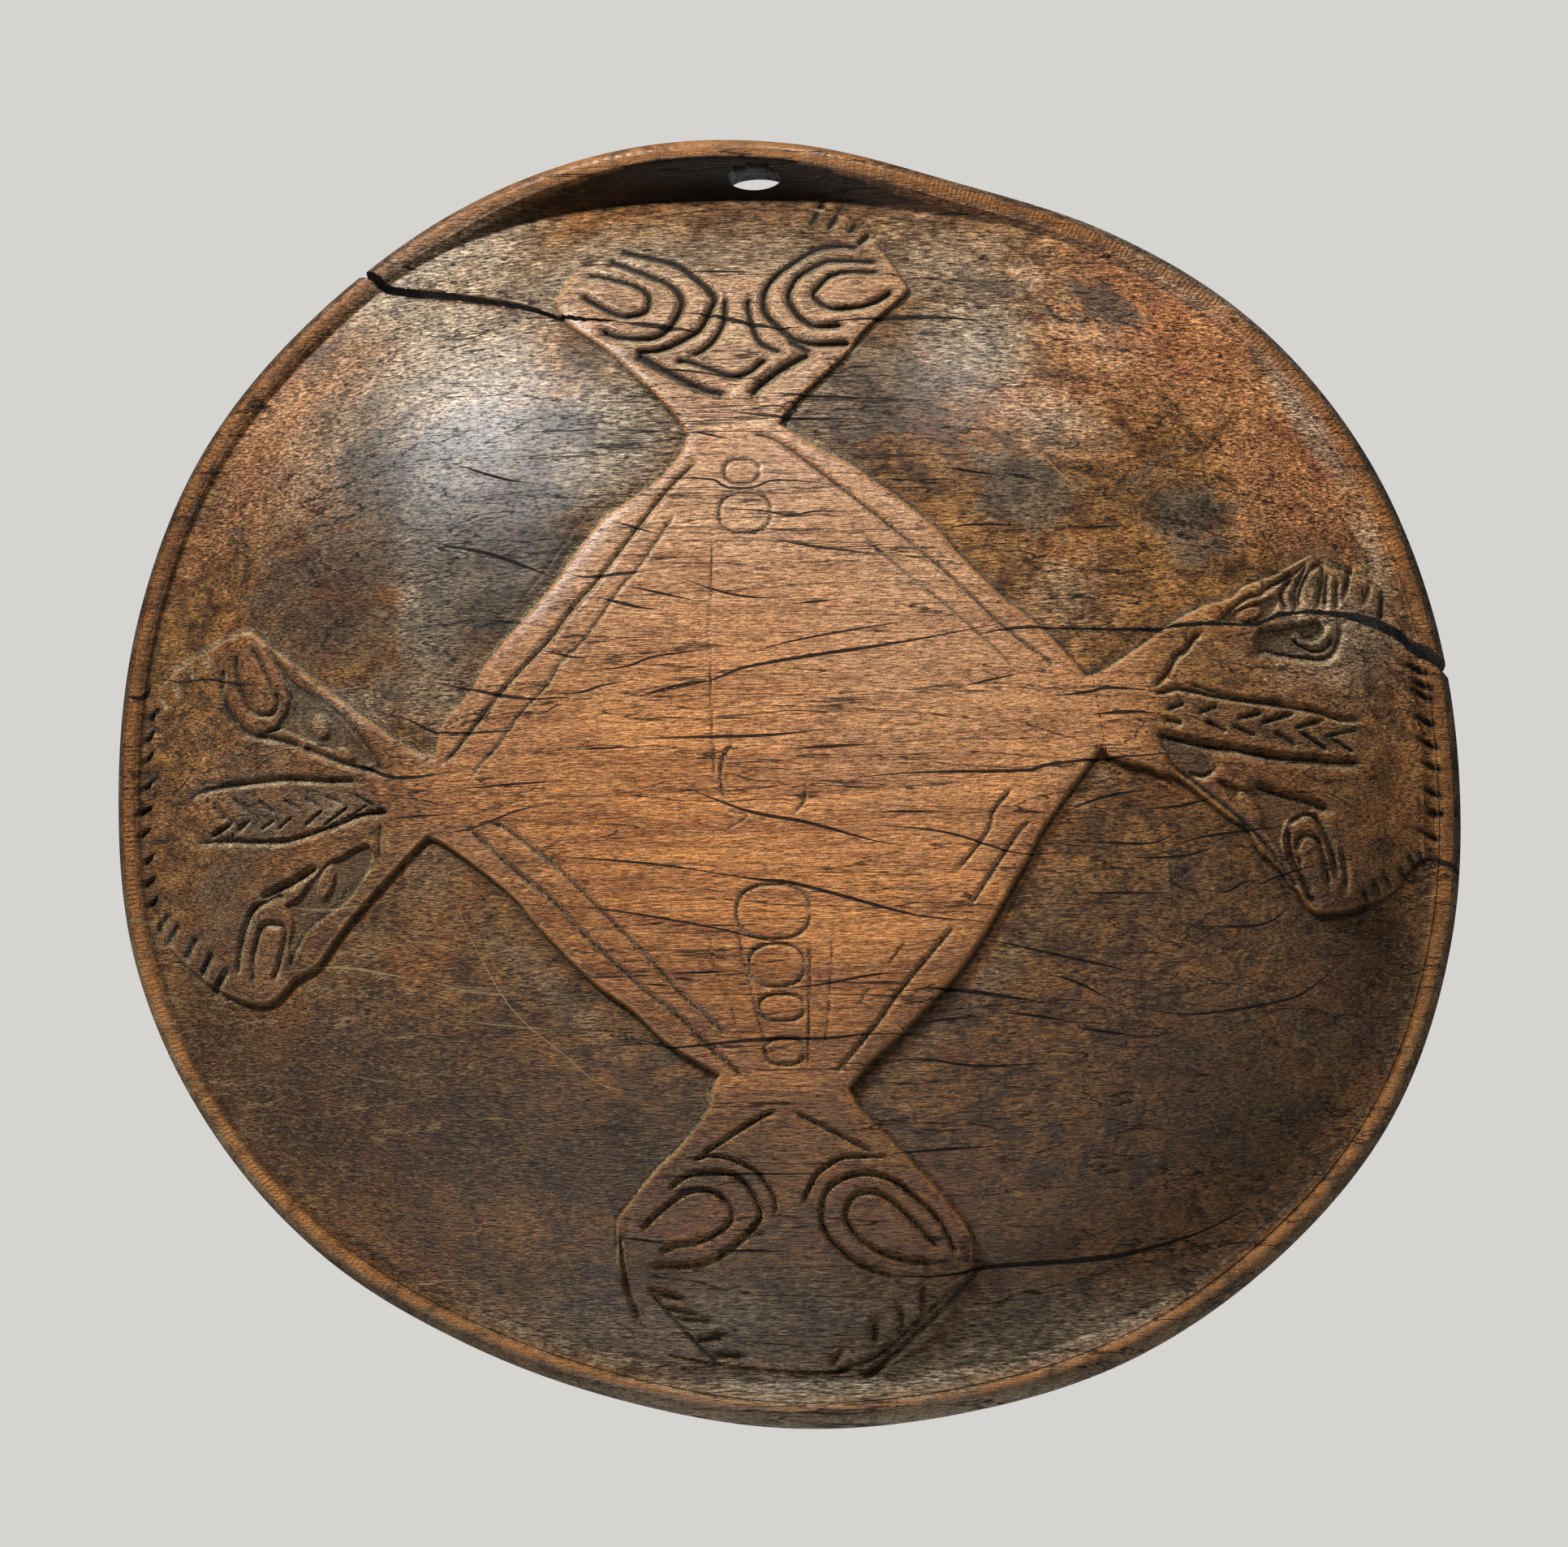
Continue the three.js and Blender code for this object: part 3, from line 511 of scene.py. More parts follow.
# %% Drying checks and scratches: the checks' width, then the points
CHECKS = [
    (0.9, [(-161, 4), (-151.5, 2), (-143, -2), (-135, -3), (-117.5, -1.5)]),
    (0.6, [(-148, 22.5), (-136, 19), (-124.5, 13.5), (-102.5, 12.5), (-87, 13.5)]),
    (0.9, [(-125, 32), (-93.5, 24.5), (-75, 24)]),
    (0.6, [(-142, -17.5), (-119.5, -17)]),
    (0.6, [(-124.5, -24), (-111, -22.5), (-93, -16.5), (-79, -14)]),
    (0.6, [(-117.5, -8), (-75, -6)]),
    (0.9, [(-125, 84), (-106.5, 79.5), (-80.5, 69)]),
    (0.9, [(-76, 70.5), (-70, 68.5), (-44.5, 70.5)]),
    (0.6, [(-60, 89.5), (-43, 84)]),
    (0.6, [(-50, 105.5), (-41, 105.5), (-21.5, 104), (-19.5, 101.5), (-8.5, 101), (-2.5, 103.5),
     (5.5, 103.5), (24.5, 101.5)]),
    (0.9, [(-65, 61), (-48.5, 56.5), (-43, 56)]),
    (0.6, [(-55, 65), (-28, 58.5)]),
    (0.6, [(-85.5, 42), (-71, 38.5), (-66.5, 39)]),
    (0.6, [(-81.5, 25.5), (-69.5, 26), (-63.5, 28), (-51.5, 30)]),
    (0.6, [(-69.5, 34), (-57.5, 34.5), (-51.5, 35.5), (-45.5, 38), (-23.5, 41)]),
    (0.6, [(-51.5, 23.5), (-33.5, 28), (-22, 29.5)]),
    (0.6, [(-72, 5), (-51.5, 5.5)]),
    (0.6, [(-106, 54), (-93.5, 53)]),
    (0.6, [(-122, 115.5), (-101.5, 108), (-89, 105.5)]),
    (0.6, [(-17.5, 93), (-4, 92), (5.5, 90), (13, 91.5), (26, 91.5)]),
    (0.6, [(-34.5, 67.5), (-20, 62), (-7, 59.5), (5.5, 59.5)]),
    (0.6, [(6, 57), (23, 58.5)]),
    (0.6, [(-3, 82.5), (7, 79.5), (30.5, 76), (41, 75)]),
    (0.6, [(-10, 39), (7.5, 43.5), (48.5, 50.5)]),
    (0.9, [(-51.5, 8.5), (-3.5, 9), (19.5, 11)]),
    (0.9, [(5, 4), (36, 5.5)]),
    (0.6, [(59.5, 109), (80, 106)]),
    (0.6, [(81.5, 107), (94.5, 104.5)]),
    (0.6, [(61.5, 84.5), (64, 86), (71.5, 87), (89, 87)]),
    (0.6, [(108, 86.5), (124, 87.5)]),
    (0.6, [(66, 26), (89, 31.5)]),
    (0.9, [(99, 23), (113.5, 25), (118, 26.5), (135.5, 26)]),
    (0.9, [(112, 16.5), (129.5, 18), (138, 17.5)]),
    (0.9, [(30, -6.5), (48.5, -5), (91.5, -4), (97.5, -2), (123.5, 1.5), (135, 2.5), (141, 3.5),
     (149.5, 3.5)]),
    (0.9, [(-33.5, -9), (-9, -18.5), (11, -22.5), (36.5, -29.5), (46, -31)]),
    (0.6, [(34.5, -23.5), (61.5, -26.5), (83, -33), (90, -34), (103, -33)]),
    (0.6, [(37, -19), (60, -19)]),
    (0.9, [(-33.5, -38.5), (-5.5, -43), (5, -44), (48, -55.5), (58, -57), (77, -58.5)]),
    (0.6, [(-82.5, -33), (-39.5, -37.5), (-10, -42.5)]),
    (0.6, [(-93, -50.5), (-64.5, -52.5), (-22, -60), (-0.5, -65), (14.5, -66)]),
    (0.6, [(-69.5, -77), (-53, -77)]),
    (0.6, [(-48.5, -79.5), (-37, -80.5)]),
    (0.6, [(-40, -76), (-13.5, -75.5)]),
    (0.6, [(-0.5, -82), (16.5, -80.5), (36, -77), (50, -76.5)]),
    (0.9, [(43.5, -83), (59.5, -82), (97, -86.5)]),
    (0.9, [(-58, -99), (-50.5, -99), (-39, -102), (-33, -102), (-2, -99.5), (18.5, -99.5), (33, -98),
     (52, -98)]),
    (0.6, [(50.5, -94), (72, -91.5)]),
    (0.6, [(80, -90), (95, -91.5), (106.5, -93.5)]),
    (0.6, [(106, -95), (128.5, -98)]),
    (0.6, [(39, -107), (54.5, -107), (70.5, -109), (97, -108)]),
    (0.6, [(74, -64), (128.5, -75.5)]),
    (0.6, [(97, -76.5), (105.5, -78.5), (119, -85)]),
    (0.6, [(103, -18.5), (117.5, -13), (135, -9.5)]),
    (0.6, [(130.5, -17), (144.5, -15.5), (158, -11.5)]),
    (0.6, [(108, -29), (135.5, -29), (144.5, -24)]),
    (0.6, [(140.5, -30.5), (152.5, -26.5), (183, -21.5)]),
    (0.6, [(129, -34.5), (146.5, -33.5), (157.5, -29.5)]),
    (0.6, [(170.5, -45), (175.5, -41.5), (193.5, -35)]),
    (0.6, [(111.5, -47.5), (137.5, -47)]),
    (0.6, [(158, -46), (162, -46), (166, -43), (172, -41)]),
    (0.6, [(152, -58.5), (169.5, -58), (177, -56), (184.5, -49.5)]),
    (0.6, [(-130, -75.5), (-112, -80.5), (-89, -82.5)]),
    (0.6, [(-118, -90.5), (-94, -93.5), (-52, -96.5)]),
    (0.6, [(-184, -71), (-161.5, -70), (-131, -76)]),
    (0.6, [(-188, -45.5), (-175, -48.5), (-160, -49), (-136, -45.5)]),
    (0.6, [(-239.5, 40.5), (-235, 41.5), (-227, 39.5), (-216.5, 39.5), (-201, 36), (-191, 34.5)]),
    (1.2, [(-249, 35.5), (-242.5, 34.5), (-239.5, 40)]),
    (0.6, [(-46.5, -148), (-19.5, -147), (13, -147)]),
    (0.6, [(38, -140.5), (45, -139.5), (78.5, -137)]),
    (0.6, [(-61, -168.5), (-41, -171)]),
    (0.6, [(-25, -173.5), (0, -174)]),
    (1.2, [(38, -182.5), (51, -183), (65.5, -181.5), (69.5, -180), (116, -176), (133.5, -172),
     (151.5, -166), (168, -157.5)]),
    (0.6, [(128.5, -87.5), (146.5, -90), (183.5, -83.5), (193.5, -77.5), (205, -66)]),
    (1.2, [(231.5, -32), (236, -30.5), (238.5, -32.5), (241.5, -32.5), (246.5, -37.5)]),
    (0.6, [(-20.5, 131.5), (0, 128.5), (30, 128)]),
    (0.6, [(-32.5, 123.5), (-17.5, 120)]),
    (0.6, [(-6, 138), (41.5, 135.5)]),
    (0.6, [(-37, 189.5), (-11, 188.5)]),
    (0.6, [(-51, 150), (-4.5, 143)]),
    (1.5, [(-61.5, 168.5), (-31, 163.5)]),
    (1.2, [(-37.5, 171.5), (-25.5, 170), (-13, 166.5), (-1, 164.5), (6.5, 164.5)]),
    (0.9, [(14, 167), (52.5, 169), (75, 168)]),
    (0.9, [(106.5, 48), (95, 48.5), (83, 47.5), (73, 45.5)]),
    (0.9, [(80.5, 49.5), (48.5, 43), (-10, 34), (-22.5, 29.5), (-51.5, 23.5)]),
]
SCRATCHES = [
    [(90, 120), (113, 96.5)],
    [(88, 119), (93, 114)],
    [(95, 72), (103.5, 81.5), (109.5, 84)],
    [(-117.5, -39.5), (-117, -48), (-111, -63), (-96, -88), (-77.5, -104), (-64.5, -114.5), (-44.5, -119)],
]
SCRATCH_LINES = [(0.5, points) for points in SCRATCHES]
print("checks:", len(CHECKS), "scratches:", len(SCRATCHES))

# %% [markdown]
# ## The relief as a height field
# A height field over the plan can hold both the edges of the relief, which slope by a
# millimetre, and its V-shaped grooves. It needs a fine grid only where there is relief, so
# the lozenge and the heads are patches of their own, raised 2.6 mm over the belly. They are
# closed slabs whose undersides are sunk in the wood, so no seam shows. Sculpting would be
# freer, but formulas can be measured and give the same carving every time.

# %% Relief heights
RELIEF = 2.6
# the cuts of a figure, how much wider and deeper than listed they are, and how far in from a
# groove's side its dark of soot and painted shade begins, as a share of its half width
FIGURES = [
    (LOZENGE_CUTS, 1.35, 1.7, 0.5), (HEAD_TOP_CUTS, 2.5, 4.1, 0.34), (HEAD_LEFT_CUTS, 1.9, 3.2, 0.5),
    (HEAD_RIGHT_CUTS, 1.9, 3.2, 0.5), (HEAD_BOTTOM_CUTS, 1.35, 2.3, 0.4),
]


NOTCH_LENGTH, NOTCH_MORE, NOTCH_WIDTH, NOTCH_DEPTH, NOTCH_INK = 7.5, 0.45, 0.8, 1.2, 0.3


def groove(width, deep, points, spread, strength, ink):
    """A groove as it is cut. A short straight mark is a single chop of the blade: narrower and
    deeper than a line, and longer at both ends by a share of its length."""
    p = np.asarray(points, float)
    if len(p) > 2 or np.hypot(*(p[0] - p[1])) >= NOTCH_LENGTH:
        return spread * width, strength * deep, points, ink
    ends = [p[0] - NOTCH_MORE * (p[1] - p[0]), p[1] + NOTCH_MORE * (p[1] - p[0])]
    return NOTCH_WIDTH * spread * width, NOTCH_DEPTH * strength * deep, ends, NOTCH_INK


ALL_CUTS = [
    groove(width, deep, points, spread, strength, ink)
    for cuts, spread, strength, ink in FIGURES for width, deep, points in cuts
]
# insects' flight holes: place and width
PITS = [(-192.5, 56.5, 2.4), (-204, -20, 3.4), (8.5, -233.5, 1.8)]
ALL_CUTS += [(wide, 1.8, [(x - 0.5, z), (x + 0.5, z)], NOTCH_INK) for x, z, wide in PITS]
PALE_CHIPS = [(1.3 * width, deep, points, 0.15) for width, deep, points in CHIPS]


def cell_ring(cx, cz, rx, rz, squareness=0.8):
    """The ring round a cell: an ellipse drawn out towards its corners by a power below 1."""
    turn = np.linspace(0, 2 * np.pi, 33)
    c, s = np.cos(turn), np.sin(turn)
    x = cx + rx * np.sign(c) * np.abs(c) ** squareness
    z = cz + rz * np.sign(s) * np.abs(s) ** squareness
    return np.stack([x, z], -1)


ALL_CUTS += [(2.3, 1.2, cell_ring(*cell), 0.45) for cell in CELLS]


def relief_inside(x, z):
    """Distance inside the union of all outlines, positive on the relief."""
    return np.max([inside(x, z, line) for line in outlines.values()], axis=0)


def cut_depth(x, z, cuts):
    """Depth of the grooves and how much of a groove each point is, both 0 on plain wood.
    A groove's section is a V with rounded shoulders, and its ends run out."""
    depth = np.zeros(x.shape)
    share = np.zeros(x.shape)
    for width, deep, points, ink in cuts:
        line = smooth(points, 1.0)
        half = 0.6 * width
        near = close_to(x, z, line, half)
        if not near.any():
            continue
        away, place, run = to_line(x[near], z[near], line)
        fade = min(2.5, 0.2 * run)
        ends = 0.35 + 0.65 * ramp(np.minimum(place, run - place), 0, fade)
        v = np.clip(1 - np.abs(away) / half, 0, 1)
        depth[near] = np.maximum(depth[near], deep * ends * v**1.25)
        # the share that the shader makes dark with soot and painted shade, and pales with dust low down
        dark = ends * np.clip(deep / 1.1, 0.25, 1) * ramp(v, ink, ink + 0.4)
        share[near] = np.maximum(share[near], dark)
    return depth, share


def in_ellipse(x, z, cx, cz, rx, rz, turn):
    """The square of each point's distance from an ellipse's centre, in its half sizes."""
    c, s = np.cos(np.radians(turn)), np.sin(np.radians(turn))
    u, v = (x - cx) * c + (z - cz) * s, (z - cz) * c - (x - cx) * s
    return (u / rx) ** 2 + (v / rz) ** 2


def sunk_depth(x, z):
    """Depth of the sunk grounds, and how much of one each point is. Bosses and the ring of
    the right head's upper eye stand up in them as rounded swellings."""
    depth, share = np.zeros(x.shape), np.zeros(x.shape)
    for deep, points in SUNK:
        line = smooth(points, 1.5, closed=True)
        near = close_to(x, z, line, 0)
        within = ramp(inside(x[near], z[near], line), -0.3, 1.5 if deep > 1 else 5.0)
        depth[near] = np.maximum(depth[near], 1.5 * deep * within)
        share[near] = np.maximum(share[near], within * (deep / 1.5) ** 2)
    stand = np.zeros(x.shape)
    for boss in BOSSES:
        stand = np.maximum(stand, ramp(1 - in_ellipse(x, z, *boss), 0, 0.7))
    eye = smooth(RING, 1.0)
    near = close_to(x, z, eye, 2.5)
    away = np.abs(to_line(x[near], z[near], eye)[0])
    stand[near] = np.maximum(stand[near], 1 - ramp(away, 0.6, 2.0))
    return depth * (1 - 0.95 * stand), share * (1 - stand)


def relief_strength(x, z):
    """How much of its full height the relief has: the heads melt into the belly towards the
    rim, and the bottom head is low all over."""
    top = 1 - 0.9 * ramp(z, 180, 200) * (1 - 0.5 * ramp(x, 5, 25))
    bottom = (1 - 0.3 * ramp(-z, 105, 130)) * (1 - 0.8 * ramp(-z, 168, 196))
    sides = 1 - 0.6 * ramp(np.abs(x), 200, 228)
    return top * bottom * sides


def nearest_check(x, z, checks, reach=2.5):
    """Signed distance to the nearest check and its width there. The width tapers to both
    ends and is 0 out of reach."""
    signed = np.full(x.shape, 9.0)
    wide = np.zeros(x.shape)
    for width, points in checks:
        line = smooth(points, 3.0)
        near = close_to(x, z, line, reach)
        if not near.any():
            continue
        away, place, run = to_line(x[near], z[near], line)
        taper = ramp(np.minimum(place, run - place), -0.02 * run, 0.45 * run)
        better = np.abs(away) < np.abs(signed[near])
        signed[near] = np.where(better, away, signed[near])
        better &= np.abs(away) < reach
        wide[near] = np.where(better, 0.5 * width * (0.15 + 0.85 * taper), wide[near])
    return signed, wide


test_x, test_z = np.array([0.0, -30.0, 200.0]), np.array([0.0, 110.5, 200.0])
print("inside:", relief_inside(test_x, test_z), "groove:", cut_depth(test_x, test_z, ALL_CUTS)[0])

# %% [markdown]
# ## Where the wood differs
# Hands, smoke and soot have coloured the wood unevenly: the lozenge is worn to a warm
# orange-brown, the upper left of the belly is almost black and polished, and orange patches
# show at the upper right. Each such zone is an ellipse with soft edges. The shader breaks
# their borders up with noise. Some zones paint light and shade rather than the wood's colour:
# the deep zones lay a painted shade on the lower belly, and some pale zones lay a painted
# highlight on the upper left shoulder and along the bottom lip.

# %% Colour zones: centre, half sizes, turn in degrees, strength
DARK_ZONES = [
    (-118, 92, 60, 58, -25, 0.9), (-165, 70, 40, 40, 0, 0.75), (-80, 128, 34, 30, 0, 0.5),
    (45, 140, 36, 40, 30, 0.55), (88, 98, 28, 18, -35, 0.7), (149, 91, 18, 26, 10, 0.75),
    (77, 189, 22, 16, -30, 0.5), (113, 174, 26, 14, -10, 0.7), (150, 129, 14, 12, 0, 0.3),
    (117, 120, 24, 13, 0, 0.4), (-92, -40, 24, 16, -42, 0.5), (186, -89, 26, 44, 25, 0.5),
    (-195, -10, 30, 40, 0, 0.5), (-205, -45, 26, 26, 0, 0.6), (190, 10, 40, 45, 0, 0.25),
    (-150, -60, 30, 26, 30, 0.4), (150, -45, 26, 18, 0, 0.35), (-215, 105, 20, 40, 20, 0.35),
    (20, 200, 60, 14, 0, 0.3), (-40, -100, 40, 10, -40, 0.5), (50, -100, 40, 12, 45, 0.4),
]
WARM_ZONES = [
    (135, 165, 62, 34, -28, 1), (190, 115, 40, 52, 20, 0.85), (100, 130, 45, 22, -30, 0.55),
    (-195, 120, 34, 52, -25, 0.75), (-170, 150, 42, 20, 35, 0.6), (-150, -105, 55, 42, -15, 0.4),
    (-215, 0, 22, 70, 0, 0.4), (-90, -150, 60, 40, 0, 0.4), (130, -75, 50, 40, 0, 0.4),
    (220, 40, 20, 50, 0, 0.4), (-195, -70, 30, 24, 30, 0.5), (60, -190, 60, 20, 10, 0.2),
    (-60, 15, 60, 45, 0, 0.7), (60, -40, 50, 40, 0, 0.5), (-205, -30, 40, 60, 0, 0.3),
    (-200, 30, 30, 30, 0, 0.3),
]


# pale zones: grey dust, and a painted highlight on the upper left shoulder and along the bottom lip
PALE_ZONES = [
    (-20, 165, 62, 50, 0, 0.9), (-5, 100, 40, 40, 0, 0.75), (40, 70, 60, 26, -40, 0.5),
    (-125, 150, 50, 40, 30, 0.8), (-60, 60, 50, 40, 40, 0.35), (60, 190, 60, 30, -15, 0.55),
    (-165, 130, 40, 60, -35, 0.5), (0, -232, 170, 14, 0, 1.3), (110, 165, 60, 20, -25, 0.35),
    (-75, 185, 60, 25, 20, 0.7), (0, -205, 110, 26, 0, 0.5), (200, 50, 34, 30, 0, 0.6),
    (68, 160, 30, 28, 0, 0.75), (100, 128, 22, 20, 0, 0.5), (105, 62, 28, 26, 0, 0.4),
    (105, -5, 24, 22, 0, 0.35), (-126, 29, 26, 20, 0, 0.5), (-126, -36, 24, 20, 0, 0.35),
    (-62, 122, 28, 34, -40, 0.9), (-128, 190, 44, 30, 35, 0.9), (80, -205, 90, 20, 10, 0.7),
    (-125, 160, 34, 44, 0, 0.8), (-128, 86, 15, 54, 0, 1.1), (139, 193, 52, 8, -37, 0.7),
    (190, 135, 45, 7, -58, 0.6), (217, 75, 40, 7, -75, 0.5), (-85, -78, 50, 9, -44, 0.4),
    (80, -76, 60, 7, 48, 0.35), (0, -200, 170, 26, 0, 0.6), (-160, 24, 28, 12, 0, 0.6),
    (-165, -12, 24, 12, 0, 0.5), (45, 20, 55, 60, 0, 0.5),
]


# deep zones: a painted shade, darker brown on the lower belly
PAINTED_SHADE_ZONES = [
    (-150, -120, 80, 34, -12, 1), (-60, -138, 60, 24, 5, 0.8), (-215, -95, 22, 60, -15, 0.8),
    (160, -120, 40, 50, 30, 0.6), (212, -70, 22, 60, 20, 0.8), (-165, 60, 40, 34, 0, 0.5),
    (120, -150, 60, 24, 20, 0.4),
]
POLISH_ZONES = [
    (-108, 128, 66, 60, -25, 0.55), (-60, 165, 50, 30, 0, 0.5), (75, 145, 34, 34, 0, 0.55),
    (0, 120, 30, 34, 0, 0.5), (0, -234, 150, 11, 0, 1), (0, 236, 120, 12, 0, 0.9),
    (60, 60, 40, 30, -45, 0.4), (-85, 60, 20, 60, -40, 0.5),
]


def zones(x, z, table):
    """The strongest of the zones at each point: each is exp(-d^2), where d is the distance
    from its centre in half sizes."""
    most = np.zeros(x.shape)
    for *ellipse, strength in table:
        most = np.maximum(most, strength * np.exp(-in_ellipse(x, z, *ellipse)))
    return most


def zone_values(x, z):
    """Each table's value at the points, by the name that the shader uses."""
    tables = {
        "dark": DARK_ZONES, "warm": WARM_ZONES, "pale": PALE_ZONES, "deep": PAINTED_SHADE_ZONES,
        "polish": POLISH_ZONES,
    }
    return {key: zones(x, z, table) for key, table in tables.items()}


print("dark patch:", zone_values(np.array([-120.0]), np.array([100.0])))

# %% [markdown]
# ## From arrays to meshes
# A mesh needs vertices, faces and, for the shader, a few values at each vertex: how deep in
# a groove it lies, how far the nearest check is, how sooty the wood is there. An image map
# could carry them, but values at the vertices need no unwrapping and stay with the shape.

# %% Mesh helper
hole_radius = outline_radius(HOLE_ANGLE) - HOLE_INSET
hole_x = hole_radius * np.cos(np.radians(HOLE_ANGLE))
hole_z = hole_radius * np.sin(np.radians(HOLE_ANGLE))
ATTRIBUTES = ("cut", "wear", "foot", "relief", "check_d", "check_w", "scratch_d", "scratch_w", "lit_face_and_dust",
              "dark", "warm", "pale", "deep", "polish", "inside", "crest", "sunk", "teeth")
FAR = 9.0


def make_object(name, x, z, h, faces, values=None):
    """A mesh object from plan coordinates and heights in mm, quads, and values by name."""
    points = np.stack([x - hole_x, -h, z - hole_z], -1) / 1000
    mesh = bpy.data.meshes.new(name)
    mesh.vertices.add(len(points))
    mesh.vertices.foreach_set("co", points.ravel())
    faces = np.asarray(faces, np.int32)
    mesh.loops.add(faces.size)
    mesh.loops.foreach_set("vertex_index", faces.ravel())
    mesh.polygons.add(len(faces))
    mesh.polygons.foreach_set("loop_start", np.arange(0, faces.size, faces.shape[1], dtype=np.int32))
    mesh.update(calc_edges=True)
    mesh.polygons.foreach_set("use_smooth", np.ones(len(faces), bool))
    for key in ATTRIBUTES:
        attribute = mesh.attributes.new(key, "FLOAT", "POINT")
        start = FAR if key in ("check_d", "scratch_d") else 0.0
        data = np.full(len(points), start) if values is None or key not in values else values[key]
        attribute.data.foreach_set("value", np.asarray(data, np.float32))
    made = bpy.data.objects.new(name, mesh)
    bpy.context.scene.collection.objects.link(made)
    return made


def ring_faces(rows, columns, closed_rows=False):
    """Quads of a grid whose columns close into a ring, facing the viewer where the rows run
    outwards on the front."""
    i, j = np.meshgrid(np.arange(rows if closed_rows else rows - 1), np.arange(columns), indexing="ij")
    a = i * columns + j
    b = i * columns + (j + 1) % columns
    c = ((i + 1) % rows) * columns + j
    d = ((i + 1) % rows) * columns + (j + 1) % columns
    return np.stack([a, c, d, b], -1).reshape(-1, 4)


print("hole at", round(float(hole_x), 1), round(float(hole_z), 1))

# %% [markdown]
# ## Wood is never flat
# A knife and years of use leave shallow dents. A sum of a few long sine waves with seeded
# directions gives a soft, repeatable unevenness without any image.

# %% Unevenness
WAVE_LENGTHS = (95, 70, 52, 38, 27, 19, 14, 10)
DENT = 0.12
rng = np.random.default_rng(7)
WAVES = [(*rng.uniform(0, 2 * np.pi, 2), length) for length in WAVE_LENGTHS]


def uneven(x, z):
    """Soft dents in mm: sine waves in seeded directions, each as high as it is long."""
    total = np.zeros(np.shape(x))
    for turn, phase, length in WAVES:
        along = x * np.cos(turn) + z * np.sin(turn)
        total += length / WAVE_LENGTHS[0] * np.sin(2 * np.pi * along / length + phase)
    return DENT * total


print("dents up to", np.abs(uneven(np.linspace(-200, 200, 999), np.linspace(-90, 90, 999))).max())

# %% [markdown]
# ## The ground beside the relief
# To make a figure stand out, the carver took wood away beside it, and left a narrow trench at
# its foot with a low bank beyond. Lowering the whole belly would need more depth than the
# plank has. We do as the carver did: a trench and a long slope, as a function of distance.

# %% The bank beside the relief
BANK, BANK_TOP, BANK_END, TRENCH, TRENCH_WIDTH = 0.6, 7.0, 34, 1.1, 1.7


def bank(away, strength):
    """Height of the ground at a distance outside the relief: it rises from a trench at the
    relief's foot as 1 - exp(-distance), to a bank with a long slope down to the belly."""
    rise = (BANK + TRENCH) * (1 - np.exp(-np.maximum(away, 0) / TRENCH_WIDTH)) - TRENCH
    return strength * rise * (1 - ramp(away, BANK_TOP, BANK_END))


print("bank:", bank(np.array([0.0, 2.0, 5.5, 12.0, 30.0]), 1.0).round(2))

# %% [markdown]
# ## The bowl
# The bowl is a shallow dome outside and a smooth hollow inside, one wall of wood. Turning a
# profile would make it round, so it is a grid of rings that follow the swaying edge instead:
# out over the belly, under the rim, and back in over the hollow side. Its rim stays a little
# inside, because the rim's ridge is a finer ring of its own that covers it.

# %% Bowl
COLUMNS = 540
deg = np.arange(COLUMNS) * 360 / COLUMNS
section = rim_at(deg)
belly_shares = np.linspace(0, 0.985, 112)[1:]
hollow_shares = np.linspace(0.985, 0, 44)[:-1]
edge_in = hollow_edge(deg) - HOLLOW_EASE


def bowl_rows():
    """Radius, height and a mark (0 front, 1 hollow side) of each ring."""
    for s in belly_shares:
        yield s * section["foot"], np.full(COLUMNS, belly_height(s)), 0
    yield section["foot"] - 1, np.full(COLUMNS, belly_height(1.0) - 1.4), 0
    yield section["crest_in"] + 0.8, np.full(COLUMNS, -3.0), 0
    yield section["edge"] - 3.0, np.full(COLUMNS, -4.5), 0
    yield section["edge"] - 4.2, np.full(COLUMNS, 1.5 - BACK), 1
    yield edge_in + 0.8, np.full(COLUMNS, 1.8 - BACK), 1
    for s in hollow_shares:
        yield s * edge_in, np.full(COLUMNS, hollow_height(s)), 1


rows = list(bowl_rows())
radius = np.concatenate([r for r, h, m in rows])
height = np.concatenate([h for r, h, m in rows])
hollow_side = np.concatenate([np.full(COLUMNS, m) for r, h, m in rows])
turn = np.tile(np.radians(deg), len(rows))
bx, bz = radius * np.cos(turn), radius * np.sin(turn)

front = hollow_side == 0
on_relief = np.full(bx.shape, -9.0)
on_relief[front] = relief_inside(bx[front], bz[front])
grade = radius / np.tile(section["foot"], len(rows))
calm = 1 - ramp(grade, 0.93, 0.985)
height = height + np.where(front, calm * uneven(bx, bz), 0.6 * uneven(bx + 50, bz))
ground = calm * bank(-on_relief, relief_strength(bx, bz))
under_relief = 1.6 * ramp(on_relief, -4.4, -2.4)
height += np.where(front, ground - under_relief, 0)

check_d, check_w = nearest_check(bx, bz, CHECKS, 5.0)
scratch_d, scratch_w = nearest_check(bx, bz, SCRATCH_LINES, 5.0)
bowl_values = {
    "check_d": check_d, "check_w": np.where(front, check_w, 0),
    "scratch_d": scratch_d, "scratch_w": np.where(front, scratch_w, 0),
    # the crease where the belly meets the rim goes dark: soot and painted shade, dusty low down
    "inside": hollow_side, "cut": np.where(front, 0.9 * ramp(grade, 0.965, 0.99), 0),
    **zone_values(bx, bz),
}
poles_x = np.r_[bx, 0, 0]
poles_z = np.r_[bz, 0, 0]
poles_h = np.r_[height, belly_height(0.0) - 1.0, hollow_height(0.0)]
pole_values = {"check_d": (FAR, FAR), "scratch_d": (FAR, FAR), "inside": (0, 1)}
